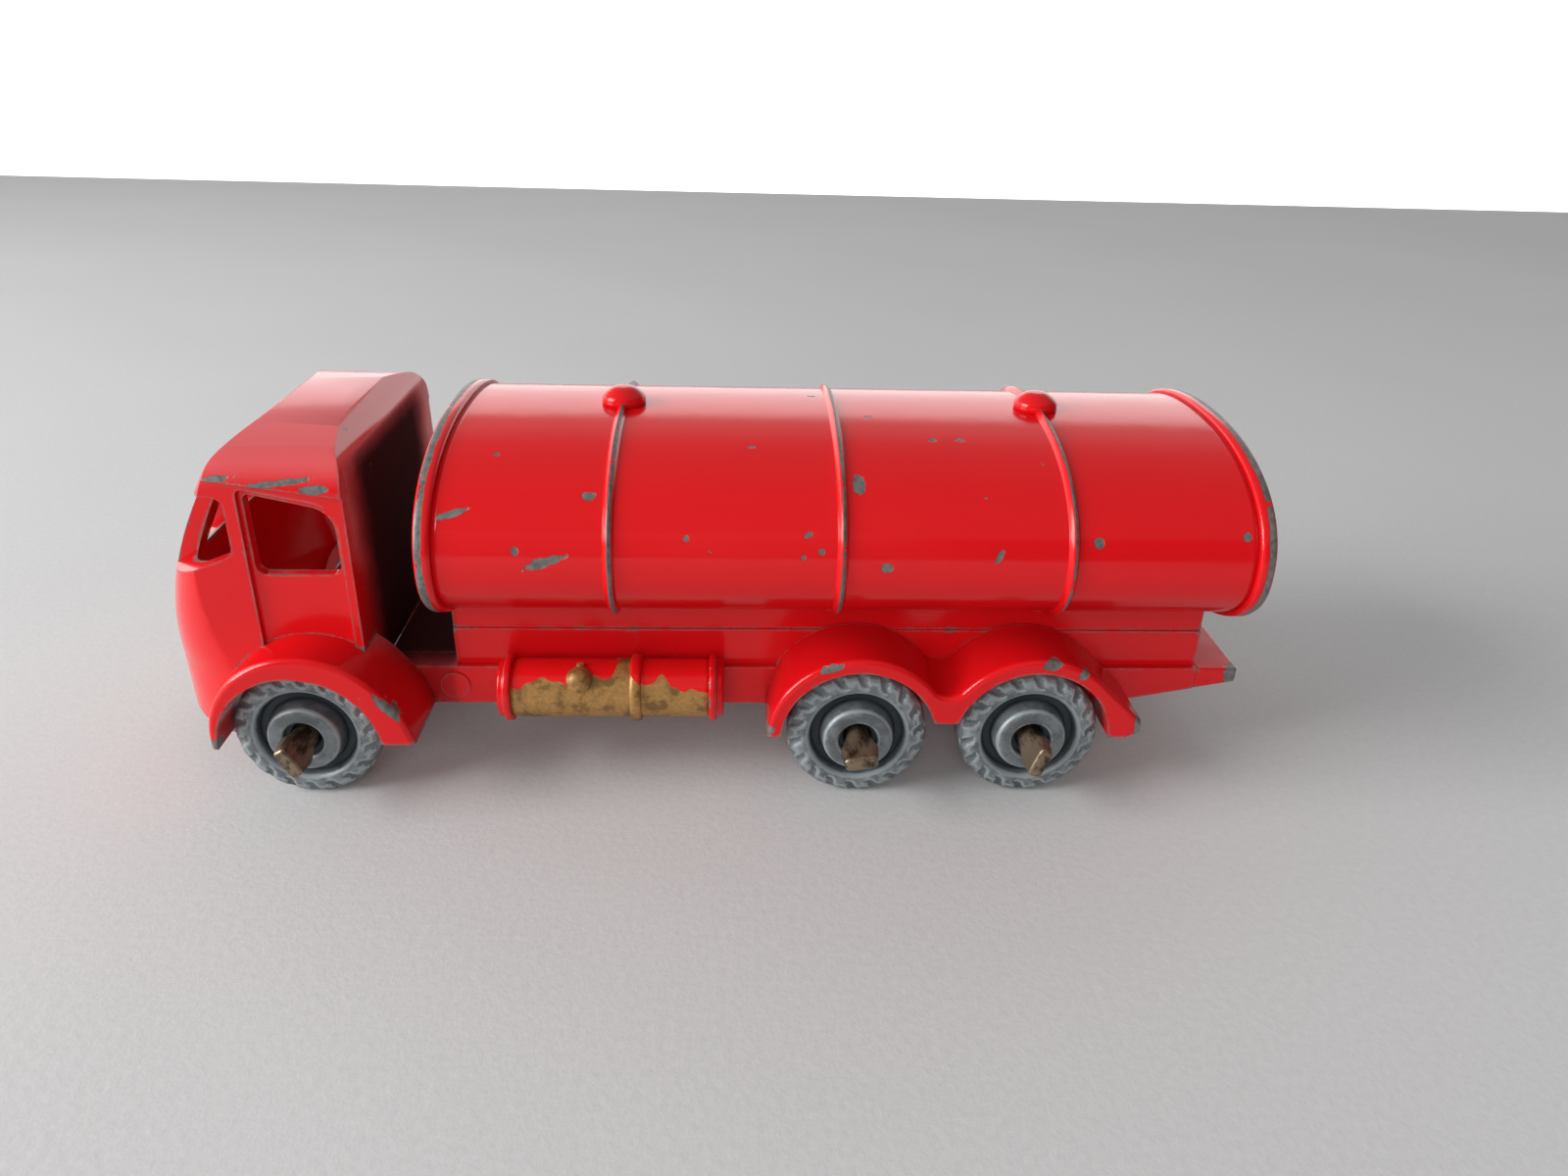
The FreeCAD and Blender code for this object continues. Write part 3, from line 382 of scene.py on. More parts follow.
class Shader(Nodes):
    """The nodes of one new material."""

    def __init__(self, name):
        self.material = bpy.data.materials.new(name)
        self.material.use_nodes = True
        super().__init__(self.material.node_tree)
        self.bsdf = self.tree.nodes["Principled BSDF"]
        self.place = self.node("ShaderNodeTexCoord").outputs["Object"]

    def noise(self, size, detail=3.0, rough=0.55, place=None, stretch=(1, 1, 1)):
        """Noise whose features are about size across, 0 to 1."""
        mapping = self.node("ShaderNodeMapping")
        self.plug(mapping.inputs["Vector"], place or self.place)
        mapping.inputs["Scale"].default_value = stretch
        noise = self.node("ShaderNodeTexNoise")
        self.plug(noise.inputs["Vector"], mapping.outputs["Vector"])
        noise.inputs["Scale"].default_value = 1.0 / size
        noise.inputs["Detail"].default_value = detail
        noise.inputs["Roughness"].default_value = rough
        return noise.outputs["Fac"]

    def mix(self, factor, a, b):
        """Colour a where factor is 0, b where it is 1."""
        made = self.node("ShaderNodeMix", data_type="RGBA")
        self.plug(made.inputs["Factor"], factor)
        self.plug(made.inputs["A"], a)
        self.plug(made.inputs["B"], b)
        return made.outputs["Result"]

    def attribute(self, name):
        """A value written on the piece's points."""
        return self.node("ShaderNodeAttribute", attribute_name=name).outputs["Fac"]

    def bump(self, height, depth, under=None):
        """Normal from a height field; depth is in metres."""
        made = self.node("ShaderNodeBump")
        made.inputs["Strength"].default_value = 1.0
        made.inputs["Distance"].default_value = depth
        self.plug(made.inputs["Height"], height)
        if under is not None:
            self.plug(made.inputs["Normal"], under)
        return made.outputs["Normal"]

    def patch(self, centre, size, turn=(0, 0, 0)):
        """Distance from a patch's centre, 1 at its edge, in the patch's own turned and scaled space."""
        mapping = self.node("ShaderNodeMapping", vector_type="TEXTURE")
        self.plug(mapping.inputs["Vector"], self.place)
        mapping.inputs["Location"].default_value = centre
        mapping.inputs["Rotation"].default_value = turn
        mapping.inputs["Scale"].default_value = size
        length = self.node("ShaderNodeVectorMath", operation="LENGTH")
        self.plug(length.inputs[0], mapping.outputs["Vector"])
        return length.outputs["Value"]

    def out(self, socket, value):
        """Sets or links one of the shader's own sockets."""
        self.plug(self.bsdf.inputs[socket], value)


def enamel(name, settings, patches=(), cast=False, gap=None):
    """Glossy red enamel, a little deeper in broad blotches, chipped to zinc on edges and in patches.

    On a cast piece the edges are found by how much of the metal just under the surface is missing;
    on the others they are in the attribute wear. The gap behind the cab is given by its range of x,
    its half-width and the level above which the cab's roof top is painted pale pink, a painted
    sheen; in the gap the enamel is painted near black, rougher and less glossy, as painted shade.
    """
    s = Shader(name)
    fine = s.noise(0.40 * MM, 4.0, 0.62)
    ragged = s.noise(1.6 * MM, 3.0, 0.6)
    blotches = s.scale(s.noise(14 * MM, 2.0), 0.0, 0.55)
    colour = s.mix(blotches, tuple(settings.colour), tuple(settings.deep_colour))
    if cast:
        hollow = s.node("ShaderNodeAmbientOcclusion", samples=6, inside=True, only_local=True)
        hollow.inputs["Distance"].default_value = 0.34 * MM
        wear = s.scale(hollow.outputs["AO"], 1.68, 0.0)
    else:
        wear = s.attribute("wear")
    edge = s.maths("ADD", wear, s.scale(ragged, -0.75, 0.55))
    edge = s.ragged(edge, fine, 0.14)
    chips = s.between(edge, 1.16 - settings.wear, 1.22 - settings.wear)
    specks = s.ragged(s.noise(0.7 * MM, 2.0, 0.5), s.noise(6 * MM, 1.0), 0.12)
    chips = s.maths("MAXIMUM", chips, s.between(specks, 0.80, 0.81))
    if patches:
        nearest = None
        for centre, size, turn in patches:
            distance = s.patch(centre, size, turn)
            nearest = distance if nearest is None else s.maths("MINIMUM", nearest, distance)
        torn = s.ragged(nearest, s.noise(0.55 * MM, 3.0, 0.6), 0.8)
        chips = s.maths("MAXIMUM", chips, s.between(torn, 1.05, 0.95))
    zinc = tuple(settings.chip_colour)
    metal = s.mix(s.between(fine, 0.35, 0.7), zinc, toned(zinc, 0.55))
    rough = s.maths("ADD", s.scale(chips, settings.gloss, 0.45), s.scale(s.noise(3 * MM), -0.04, 0.05))
    s.out("Specular IOR Level", PAINT_SHEEN)
    if gap:
        front_x, back_x, half_width, roof_z = gap
        place = s.node("ShaderNodeSeparateXYZ")
        s.plug(place.inputs[0], s.place)
        behind_cab = s.between(place.outputs["X"], back_x + 0.16 * MM, back_x + 0.02 * MM)
        ahead_of_tank = s.between(place.outputs["X"], front_x - 0.6 * MM, front_x + 0.2 * MM)
        across = s.ragged(s.maths("ABSOLUTE", place.outputs["Y"]), ragged, 0.6 * MM)
        # painted shade: between the cab's back and the tank's front the enamel is painted near black, rougher
        # and less glossy, where shade falls in the gap
        painted_gap_shade = s.maths("MULTIPLY", s.maths("MULTIPLY", behind_cab, ahead_of_tank),
                       s.between(across, half_width, half_width - 4.6 * MM))
        colour = s.mix(s.maths("MULTIPLY", painted_gap_shade, 0.97), colour, (0.02, 0.008, 0.009, 1.0))
        rough = s.maths("ADD", rough, s.maths("MULTIPLY", painted_gap_shade, 0.6), clamp=True)
        s.out("Specular IOR Level", s.scale(painted_gap_shade, PAINT_SHEEN, 0.02))
        # painted sheen: above roof_z the cab's roof is painted pale pink, standing in for the reflection of
        # the bright window
        height = s.ragged(place.outputs["Z"], ragged, 0.3 * MM)
        painted_roof_sheen = s.maths("MULTIPLY", s.between(height, roof_z, roof_z + 1.6 * MM), 0.5)
        colour = s.mix(painted_roof_sheen, colour, (0.66, 0.17, 0.18, 1.0))
    s.out("Base Color", s.mix(chips, colour, metal))
    s.out("Roughness", rough)
    s.out("Metallic", s.maths("MULTIPLY", chips, 0.4))
    waves = s.bump(s.noise(1.6 * MM, 2.0), 0.010 * MM)
    s.out("Normal", s.bump(s.maths("SUBTRACT", 1.0, chips), 0.03 * MM, waves))


def bronze_paint(name, settings, enamel_settings, level, waver):
    """Bronze metal paint up to a ragged level, rubbed dark in places, with red enamel above it."""
    s = Shader(name)
    height = s.node("ShaderNodeSeparateXYZ")
    s.plug(height.inputs[0], s.place)
    edge = s.ragged(height.outputs["Z"], s.noise(3.2 * MM, 2.0, stretch=(1, 0.3, 0.3)), waver)
    red = s.between(edge, level - 0.04 * MM, level + 0.04 * MM)
    flake = s.noise(0.22 * MM, 3.0, 0.7)
    gold = s.mix(s.between(flake, 0.30, 0.75), toned(settings.bronze, 0.72), tuple(settings.bronze))
    rubbed = s.between(s.noise(1.3 * MM, 5.0, 0.7), 0.47, 0.62)
    gold = s.mix(rubbed, gold, toned(settings.bronze, 0.42))
    s.out("Base Color", s.mix(red, gold, tuple(enamel_settings.colour)))
    s.out("Metallic", s.scale(red, 0.45, 0.0))
    s.out("Roughness", s.scale(red, 0.42, enamel_settings.gloss))
    s.out("Normal", s.bump(s.maths("ADD", flake, red), 0.014 * MM))


def wheel_zinc(settings):
    """Bare cast zinc gone dull blue-grey: mottled, paler on edges, darker in the groove, hole and notches."""
    s = Shader("wheel_zinc")
    mottle = s.noise(1.1 * MM, 5.0, 0.65)
    colour = s.mix(s.between(mottle, 0.38, 0.62), toned(settings.wheel, 0.62), tuple(settings.wheel))
    rubbed = s.between(s.ragged(s.attribute("wear"), s.noise(0.5 * MM), 0.35), 0.22, 0.6)
    colour = s.mix(rubbed, colour, toned(settings.wheel, 1.6))
    # darker in the groove, the axle hole and the notches, as written on the points
    recess_dark = s.between(s.ragged(s.attribute("recess_dark"), mottle, 0.3), 0.3, 0.8)
    s.out("Base Color", s.mix(recess_dark, colour, tuple(settings.recess_dark)))
    s.out("Roughness", s.scale(s.noise(0.8 * MM, 4.0), 0.34, 0.6))
    s.bsdf.inputs["Metallic"].default_value = 0.35
    s.out("Normal", s.bump(s.noise(0.3 * MM, 4.0, 0.65), 0.03 * MM))


def axle_metal(settings):
    """Tarnished steel in brown streaks; crimp edges pale brass, as worn metal and a painted highlight."""
    s = Shader("axle_metal")
    stain = s.noise(0.9 * MM, 5.0, 0.65, stretch=(1, 0.4, 1))
    colour = s.mix(s.between(stain, 0.42, 0.62), tuple(settings.axle), tuple(settings.rust))
    # pale brass where the crimps bend sharply: partly worn metal, partly a painted highlight
    worn_edge_and_highlight = s.between(s.maths("ADD", s.attribute("wear"), s.scale(stain, -0.3, 0.2)), 0.35, 0.8)
    s.out("Base Color", s.mix(worn_edge_and_highlight, colour, (0.62, 0.51, 0.36, 1.0)))
    s.bsdf.inputs["Metallic"].default_value = 0.8
    s.out("Roughness", s.scale(stain, 0.22, 0.55))
    s.out("Normal", s.bump(s.noise(0.25 * MM, 4.0, 0.7), 0.03 * MM))


def grey_card(settings):
    """Pale card with a fine speckle and a faint tooth."""
    s = Shader("grey_card")
    grain = s.noise(0.45 * MM, 3.0, 0.7)
    broad = s.noise(60 * MM, 2.0)
    shade = s.ragged(s.scale(grain, 0.90, 1.10), broad, 0.05)
    tint = s.node("ShaderNodeVectorMath", operation="SCALE")
    tint.inputs[0].default_value = tuple(settings.floor)[:3]
    s.plug(tint.inputs["Scale"], shade)
    s.out("Base Color", tint.outputs[0])
    s.out("Roughness", s.scale(grain, 0.7, 0.9))
    s.out("Normal", s.bump(grain, 0.02 * MM))


# ---- the tank's section
class Section:
    """The tank's section, measured from its end plates, and points on it."""

    def __init__(self, settings):
        low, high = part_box("tank_front_end")
        barrel_low, barrel_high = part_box("tank_barrel")
        self.half = high.y
        self.middle = low.z + (high.z - low.z) * settings.widest
        self.up = high.z - self.middle
        self.down = self.middle - low.z
        self.hoop = self.half - barrel_high.y
        self.exponent = settings.roundness
        self.angle = np.linspace(0.0, 2 * math.pi, settings.steps, endpoint=False)

    def at(self, x, grow, shrink=1.0):
        """Points round the tank at stations x, grown by grow beyond the barrel and scaled by shrink.

        Superellipse in its polar form: half-widths times (|cos|^n + |sin|^n)^(-1/n), with one
        half-height above the widest level and another below it.
        """
        x, grow = np.broadcast_arrays(np.asarray(x, float), np.asarray(grow, float))
        if x.ndim == 1:
            x, grow = x[:, None], grow[:, None]
        shrink = np.asarray(shrink, float)
        shrink = shrink[:, None] if shrink.ndim == 1 else shrink
        c, s = np.cos(self.angle), np.sin(self.angle)
        reach = (np.abs(c) ** self.exponent + np.abs(s) ** self.exponent) ** (-1.0 / self.exponent)
        drop = grow - self.hoop
        tall = np.where(s > 0, self.up, self.down) + drop
        y = (self.half + drop) * reach * c * shrink
        z = self.middle + tall * reach * s * shrink
        return np.stack([np.broadcast_to(x, y.shape), y, z], axis=-1)

    def spot(self, x, angle):
        """Point of the barrel's left side at an angle up from level, and the slope of its normal."""
        c, s = math.cos(angle), math.sin(angle)
        reach = (c ** self.exponent + s ** self.exponent) ** (-1.0 / self.exponent)
        half, tall = self.half - self.hoop, self.up - self.hoop
        steep = self.exponent - 1
        slope = math.atan2((s * reach) ** steep / tall, (c * reach) ** steep / half)
        return Vector((x, half * reach * c, self.middle + tall * reach * s)), slope


def tank_chips(section, rear, front):
    """Chips on both sides of the tank: centre, half sizes and turn of each patch.

    Given as a share of the barrel's length from the rear, an angle up from the side, half
    sizes along and round the tank in millimetres, and a lean. The right side takes the same chips in
    the opposite order.
    """
    chosen = ((0.976, 29, 0.95, 0.20, 0.42), (0.871, 6, 1.15, 0.28, 0.30), (0.817, 37, 0.36, 0.28, 0.3),
              (0.902, 12, 0.20, 0.26, 0.0), (0.490, 43, 0.36, 0.72, 0.1), (0.699, 19, 0.17, 0.22, 0.0),
              (0.552, 21, 0.26, 0.17, 0.4), (0.537, 13, 0.17, 0.20, 0.0), (0.558, 10, 0.15, 0.15, 0.0),
              (0.388, 65, 0.22, 0.18, 0.3), (0.352, 65, 0.28, 0.18, -0.3), (0.457, 5, 0.32, 0.24, 0.0),
              (0.320, 11, 0.16, 0.46, -0.5), (0.199, 18, 0.27, 0.30, 0.0), (0.015, 22, 0.22, 0.26, 0.0),
              (0.465, 80, 0.26, 0.16, 0.0), (0.935, 55, 0.16, 0.16, 0.0), (0.62, 60, 0.18, 0.14, 0.0))
    patches = []
    for share, degrees, along, round_, lean in chosen:
        for side, part in ((1, share), (-1, 1.0 - share)):
            centre, tilt = section.spot(rear + part * (front - rear), math.radians(degrees))
            size = (along * MM, 1.2 * MM, round_ * MM)
            patches.append(((centre.x, side * centre.y, centre.z), size, (side * tilt, lean, 0.0)))
    return patches


def casting_chips():
    """Chips on the cab's eaves, the mudguards and the tail: centre, half sizes and turn of each patch.

    Each is placed on its casting by shares of the length from the rear and of the height, and has
    half sizes along and up in millimetres and a lean.
    """
    chosen = (("cab_shell", 0.24, 0.872, 2.0, 0.20, 0.14), ("cab_shell", 0.10, 0.855, 0.8, 0.26, 0.1),
              ("cab_shell", 0.47, 0.885, 0.9, 0.15, 0.12), ("rear_mudguard", 0.26, 0.95, 0.55, 0.30, 0.0),
              ("rear_mudguard", 0.175, 0.83, 0.36, 0.26, 0.5), ("rear_mudguard", 0.0, 0.16, 0.35, 0.75, 0.0),
              ("rear_mudguard", 0.83, 0.90, 0.75, 0.20, 0.3), ("rear_mudguard", 1.0, 0.08, 0.5, 0.35, 0.0),
              ("front_mudguard", 0.115, 0.47, 0.95, 0.30, -0.9),
              ("front_mudguard", 0.97, 0.06, 0.5, 0.3, 0.0),
              ("tail_plate", 0.0, 0.75, 0.85, 0.6, 0.2))
    patches = []
    for part, along, up, half_length, half_height, lean in chosen:
        for side in SIDES:
            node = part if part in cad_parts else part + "_" + side
            low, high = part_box(node)
            y = high.y if side == "left" else low.y
            centre = (low.x + along * (high.x - low.x), y, low.z + up * (high.z - low.z))
            patches.append((centre, (half_length * MM, 0.9 * MM, half_height * MM), (0.0, lean, 0.0)))
    return patches


# ---- operators
class BuildMaterials(bpy.types.Operator):
    """Makes the paints and metals that the other operators use."""

    bl_idname = "tanker.materials"
    bl_label = "Paints and metals"

    def execute(self, context):
        scene = context.scene
        low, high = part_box("fuel_tank_left")
        level = low.z + (high.z - low.z) * 0.85
        enamel("trim_enamel", scene.tanker_enamel)
        bronze_paint("bronze_paint", scene.tanker_metal, scene.tanker_enamel, level, 2.0 * MM)
        bronze_paint("bronze_knob", scene.tanker_metal, scene.tanker_enamel, high.z + 0.1 * MM, 1.2 * MM)
        wheel_zinc(scene.tanker_metal)
        axle_metal(scene.tanker_metal)
        return {"FINISHED"}


class BuildCastings(bpy.types.Operator):
    """Gives the cab, frame, deck and mudguards soft painted edges and the red enamel."""

    bl_idname = "tanker.castings"
    bl_label = "Cab, frame and mudguards"

    def execute(self, context):
        settings = context.scene.tanker_enamel
        cab_low, cab_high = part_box("cab_shell")
        ring_low, ring_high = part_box("tank_front_end")
        # gap: range of x and half-width of the painted shade behind the cab, and the level above which its
        # roof gets a painted sheen
        gap = (ring_high.x, cab_low.x, cab_high.y, cab_high.z - 2.9 * MM)
        enamel("casting_enamel", settings, casting_chips(), cast=True, gap=gap)
        nodes = ["cab_shell", "front_deck", "front_cross_member", "rear_cross_member", "tail_plate",
                 "tank_cradle"]
        nodes += [part + "_" + side for side in SIDES
                  for part in ("side_frame", "front_mudguard", "rear_mudguard")]
        for node in nodes:
            paint(softened(node, settings.edge), "casting_enamel", BODY, "red_enamel", node)
        return {"FINISHED"}


class BuildGrille(bpy.types.Operator):
    """Gives the radiator bars the bronze paint."""

    bl_idname = "tanker.grille"
    bl_label = "Radiator grille"

    def execute(self, context):
        piece = softened("radiator_grille", 0.04 * MM)
        mark_wear(piece, 0.04 * MM)
        paint(piece, "bronze_paint", BODY, "gold_paint", "radiator_grille")
        return {"FINISHED"}


class BuildTank(bpy.types.Operator):
    """Builds the barrel of the tank, its two rimmed ends and its three hoops."""

    bl_idname = "tanker.tank"
    bl_label = "Tank, ends and hoops"

    def execute(self, context):
        scene = context.scene
        section = Section(scene.tanker_tank)
        self.barrel(section, scene.tanker_enamel)
        unevenness = scene.tanker_tank.unevenness
        for place, inward in (("front", -1.0), ("rear", 1.0)):
            self.end(section, place, inward, unevenness)
        for number, place in enumerate(("front", "middle", "rear")):
            self.hoop(section, place, 7 + number, unevenness)
        return {"FINISHED"}

    def barrel(self, section, settings):
        """Plain barrel: the section carried along X."""
        low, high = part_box("tank_barrel")
        x = np.linspace(low.x, high.x, 120)
        grid = section.at(x, 0.0)
        piece = skin("tank_barrel_skin", grid)
        mark_wear(piece, 0.1 * MM)
        enamel("tank_enamel", settings, tank_chips(section, low.x, high.x))
        paint(piece, "tank_enamel", BODY, "red_enamel", "tank_barrel")

    def end(self, section, place, inward, unevenness):
        """End plate: the section swept over a rim profile, a rounded ring round a shallow dish."""
        low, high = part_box("tank_" + place + "_end")
        outer, inner = (high.x, low.x) if inward < 0 else (low.x, high.x)
        ring = section.hoop
        rim, dish = 0.75 * MM, 0.35 * MM
        corners = [(inner, -2 * ring), (inner, ring), (outer, ring), (outer, ring - rim),
                   (outer + inward * dish, ring - rim - 0.1 * MM), (outer + inward * dish, -1.6 * MM)]
        outline = rounded(corners, (0.3 * MM, 0.36 * MM, 0.25 * MM, 0.2 * MM))
        outline = subdivided(outline, 0.12 * MM)
        waver = wavering(section.angle, 3, unevenness)
        on_ring = np.clip(outline[:, 1] / ring, 0.0, 1.0)[:, None]
        grid = section.at(outline[:, :1], outline[:, 1:] + waver * on_ring - unevenness * on_ring)
        first_row, last_row = (section.at(outline[k:k + 1, 0], outline[k:k + 1, 1], np.array([0.4]))
                               for k in (0, len(outline) - 1))
        piece = skin("tank_" + place + "_end_skin", np.concatenate([first_row, grid, last_row]))
        crest = (outline[:, 0] - outer - inward * 0.34 * MM) / (0.26 * MM)
        rim_wear = np.exp(-((outline[:, 1] - ring) / (0.22 * MM)) ** 2 - crest ** 4)[:, None]
        rim_wear = rim_wear * (1.2 + wavering(section.angle, 5, 0.30))
        write_attribute(piece, "wear", np.concatenate([np.zeros((1, len(section.angle))), rim_wear]))
        paint(piece, "trim_enamel", BODY, "red_enamel", "tank_" + place + "_end")

    def hoop(self, section, place, seed, unevenness):
        """Hoop: a bead of height h (1 - |t|^1.7)^1.1 carried round the section, worn along its crest."""
        low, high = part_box("tank_band_" + place)
        middle, half = (low.x + high.x) / 2.0, (high.x - low.x) / 2.0
        t = np.linspace(-1.0, 1.0, 25)
        bead = section.hoop * (1.0 - np.abs(t) ** 1.7) ** 1.1
        waver = wavering(section.angle, seed, unevenness)
        height = bead[:, None] + (waver - unevenness) * (bead / section.hoop)[:, None]
        sway = wavering(section.angle, seed + 20, 0.6 * unevenness)
        half -= 0.11 * MM
        grid = section.at(middle + half * t[:, None] + sway, height)
        low_edge = section.at(middle + half * t[[-1, 0], None] + sway, -0.25 * MM)
        piece = ring_skin("tank_band_" + place + "_skin", np.concatenate([grid, low_edge]))
        crest = np.exp(-((t + 0.22) / 0.44) ** 4)[:, None]
        wear = crest * (1.16 + wavering(section.angle, seed + 40, 0.26))
        write_attribute(piece, "wear", wear)
        paint(piece, "trim_enamel", BODY, "red_enamel", "tank_band_" + place)


class BuildFillers(bpy.types.Operator):
    """Builds the two domed filler caps on top of the tank."""

    bl_idname = "tanker.fillers"
    bl_label = "Filler caps"

    def execute(self, context):
        turn = np.linspace(0.0, 2 * math.pi, 72, endpoint=False)
        for place in ("front", "rear"):
            low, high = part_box("filler_cap_" + place)
            centre = (low + high) / 2.0
            radius = (high.x - low.x) / 2.0
            tall = high.z - low.z
            corners = [(radius * 0.98, low.z), (radius * 0.98, high.z - 0.55 * tall),
                       (radius * 0.80, high.z - 0.30 * tall), (radius * 0.42, high.z - 0.02 * tall),
                       (radius * 0.04, high.z)]
            outline = rounded(corners, (0.25 * MM, 0.3 * MM, 0.35 * MM), 7)
            r, z = outline[:, :1], outline[:, 1:]
            grid = np.stack([centre.x + r * np.cos(turn), centre.y + r * np.sin(turn),
                             np.broadcast_to(z, (len(z), 72))], axis=-1)
            piece = skin("filler_cap_" + place + "_skin", grid)
            mark_wear(piece, 0.2 * MM)
            paint(piece, "trim_enamel", BODY, "red_enamel", "filler_cap_" + place)
        return {"FINISHED"}


def drum(name, outline, centre, rail):
    """Drum along X: an outline of (x, radius) turned about the centre, flattened where it meets the rail.

    Each point is (x, yc + r cos a, zc + r sin a), and y is kept on the outer side of the rail's face.
    """
    turn = np.linspace(0.0, 2 * math.pi, 96, endpoint=False)
    x, r = outline[:, :1], outline[:, 1:]
    out = 1.0 if centre.y > 0 else -1.0
    y = out * np.maximum(out * (centre.y + r * np.cos(turn)), abs(rail))
    grid = np.stack([np.broadcast_to(x, y.shape), y, centre.z + r * np.sin(turn)], axis=-1)
    return skin(name, grid)


class BuildFuelTanks(bpy.types.Operator):
    """Builds the fuel tank on each side: bronze barrel, red rounded ends with flanges, and strap."""

    bl_idname = "tanker.fuel_tanks"
    bl_label = "Fuel tanks"

    def execute(self, context):
        for side in SIDES:
            low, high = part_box("fuel_tank_" + side)
            end_low, end_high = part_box("fuel_tank_ends_" + side)
            strap_low, strap_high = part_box("fuel_tank_strap_" + side)
            radius = (high.z - low.z) / 2.0
            flange = (end_high.z - end_low.z) / 2.0
            rail = low.y if side == "left" else high.y
            outer = high.y - radius if side == "left" else low.y + radius
            centre = Vector((0.0, outer, (low.z + high.z) / 2.0))
            barrel = subdivided(np.array([(low.x, radius), (high.x, radius)]), 0.25 * MM)
            piece = drum("fuel_tank_" + side + "_skin", barrel, centre, rail)
            mark_wear(piece, 0.1 * MM)
            paint(piece, "bronze_paint", BODY, "gold_paint", "fuel_tank_" + side)
            for number, (tip, root, way) in enumerate(((end_high.x, high.x, -1), (end_low.x, low.x, 1))):
                outline = rounded([(tip, 0.02 * MM), (tip, radius), (root - way * 0.45 * MM, radius),
                                   (root - way * 0.45 * MM, flange), (root, flange), (root, 0.02 * MM)],
                                  (0.6 * MM, 0.12 * MM, 0.2 * MM, 0.2 * MM))
                piece = drum("fuel_tank_end_%d_%s_skin" % (number + 1, side), subdivided(outline, 0.15 * MM),
                             centre, rail)
                mark_wear(piece, 0.2 * MM)
                paint(piece, "trim_enamel", BODY, "red_enamel", "fuel_tank_ends_" + side)
            outline = rounded([(strap_low.x, 0.02 * MM), (strap_low.x, flange), (strap_high.x, flange),
                               (strap_high.x, 0.02 * MM)], (0.28 * MM, 0.28 * MM))
            piece = drum("fuel_tank_strap_" + side + "_skin", outline, centre, rail)
            mark_wear(piece, 0.2 * MM)
            paint(piece, "bronze_paint", BODY, "red_enamel", "fuel_tank_strap_" + side)
            knob = softened("fuel_filler_" + side, 0.05 * MM)
            paint(knob, "bronze_knob", BODY, "red_enamel", "fuel_filler_" + side)
        return {"FINISHED"}


class BuildWheels(bpy.types.Operator):
    """Builds the six cast wheels, each tyre and hub in one, notched round the outer shoulder."""

    bl_idname = "tanker.wheels"
    bl_label = "Wheels"

    def execute(self, context):
        for axle in AXLES:
            for side in SIDES:
                self.wheel(context.scene.tanker_wheel, axle + "_wheel_" + side, 1 if side == "left" else -1)
        return {"FINISHED"}

    def outline(self, s, radius, inner, outer):
        """Half section as (radius, distance from the middle of the lorry), from the bore outwards."""
        face = outer - s.face_inset
        back = face - s.tyre_width
        lip = radius - s.tyre_wall
        corners = [(s.bore, inner), (s.hub, inner), (s.hub, back), (radius - 0.55 * MM, back),
                   (radius, back + 0.35 * MM), (radius, face - 0.35 * MM), (radius - 0.5 * MM, face),
                   (lip, face), (lip - 0.15 * MM, face - s.groove), (s.hub + 0.2 * MM, face - s.groove),
                   (s.hub, outer), (s.mouth, outer), (s.mouth - 0.02 * MM, outer - 0.6 * MM),
                   (s.bore, outer - 0.62 * MM)]
        turns = (0.1, 0.1, 0.3, 0.3, 0.35, 0.45, 0.42, 0.15, 0.15, 0.35, 0.25, 0.05)
        return subdivided(rounded(corners, [t * MM for t in turns], 6), 0.14 * MM)

    def wheel(self, s, node, out):
        """Wheel: the outline turned about the axle, pushed in by the notches.

        A notch is a dent of depth d sqrt(1 - (a/w)^2) at angle a from its middle, leaning with the
        radius, and fades with the square of the distance from the shoulder.
        """
        low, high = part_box(node)
        centre = (low + high) / 2.0
        radius = (high.z - low.z) / 2.0
        inner, outer = sorted((abs(low.y), abs(high.y)))
        outline = self.outline(s, radius, inner, outer)
        turn = np.linspace(0.0, 2 * math.pi, s.notches * 14, endpoint=False)
        r, y = outline[:, :1], outline[:, 1:]
        face = outer - s.face_inset
        off = np.hypot(r - (radius - 0.40 * MM), y - (face - 0.10 * MM))
        fade = np.exp(-(off / (0.40 * MM)) ** 4)
        phase = (turn * s.notches / (2 * math.pi) + 0.35 * (r - radius) / MM) % 1.0 - 0.5
        dent = s.notch_depth * np.sqrt(np.clip(1.0 - (phase / 0.20) ** 2, 0.0, 1.0)) * fade
        r_in = r - 0.5 * dent
        y_in = y - dent
        grid = np.stack([centre.x + r_in * np.cos(turn), out * y_in, centre.z + r_in * np.sin(turn)], axis=-1)
        bore = np.stack([centre.x + s.bore * np.cos(turn), np.full(len(turn), out * inner),
                         centre.z + s.bore * np.sin(turn)], axis=-1)[None]
        piece = ring_skin(node + "_skin", np.concatenate([grid, bore]))
        # darkening for the groove, the axle hole and the notches, written as a point attribute
        groove_middle = (s.hub + radius - s.tyre_wall) / 2
        grooved = (face - y) / s.groove * np.exp(-((r - groove_middle) / (0.55 * MM)) ** 4)
        hole = np.exp(-(r / (s.mouth * 1.02)) ** 12)
        recess_dark = 0.85 * np.clip(grooved, 0, 1) + hole + 0.3 * dent / s.notch_depth
        write_attribute(piece, "recess_dark", np.concatenate([recess_dark, np.ones((1, len(turn)))]))
        mark_wear(piece, 0.2 * MM)
        paint(piece, "wheel_zinc", node, "bare_zinc", node)


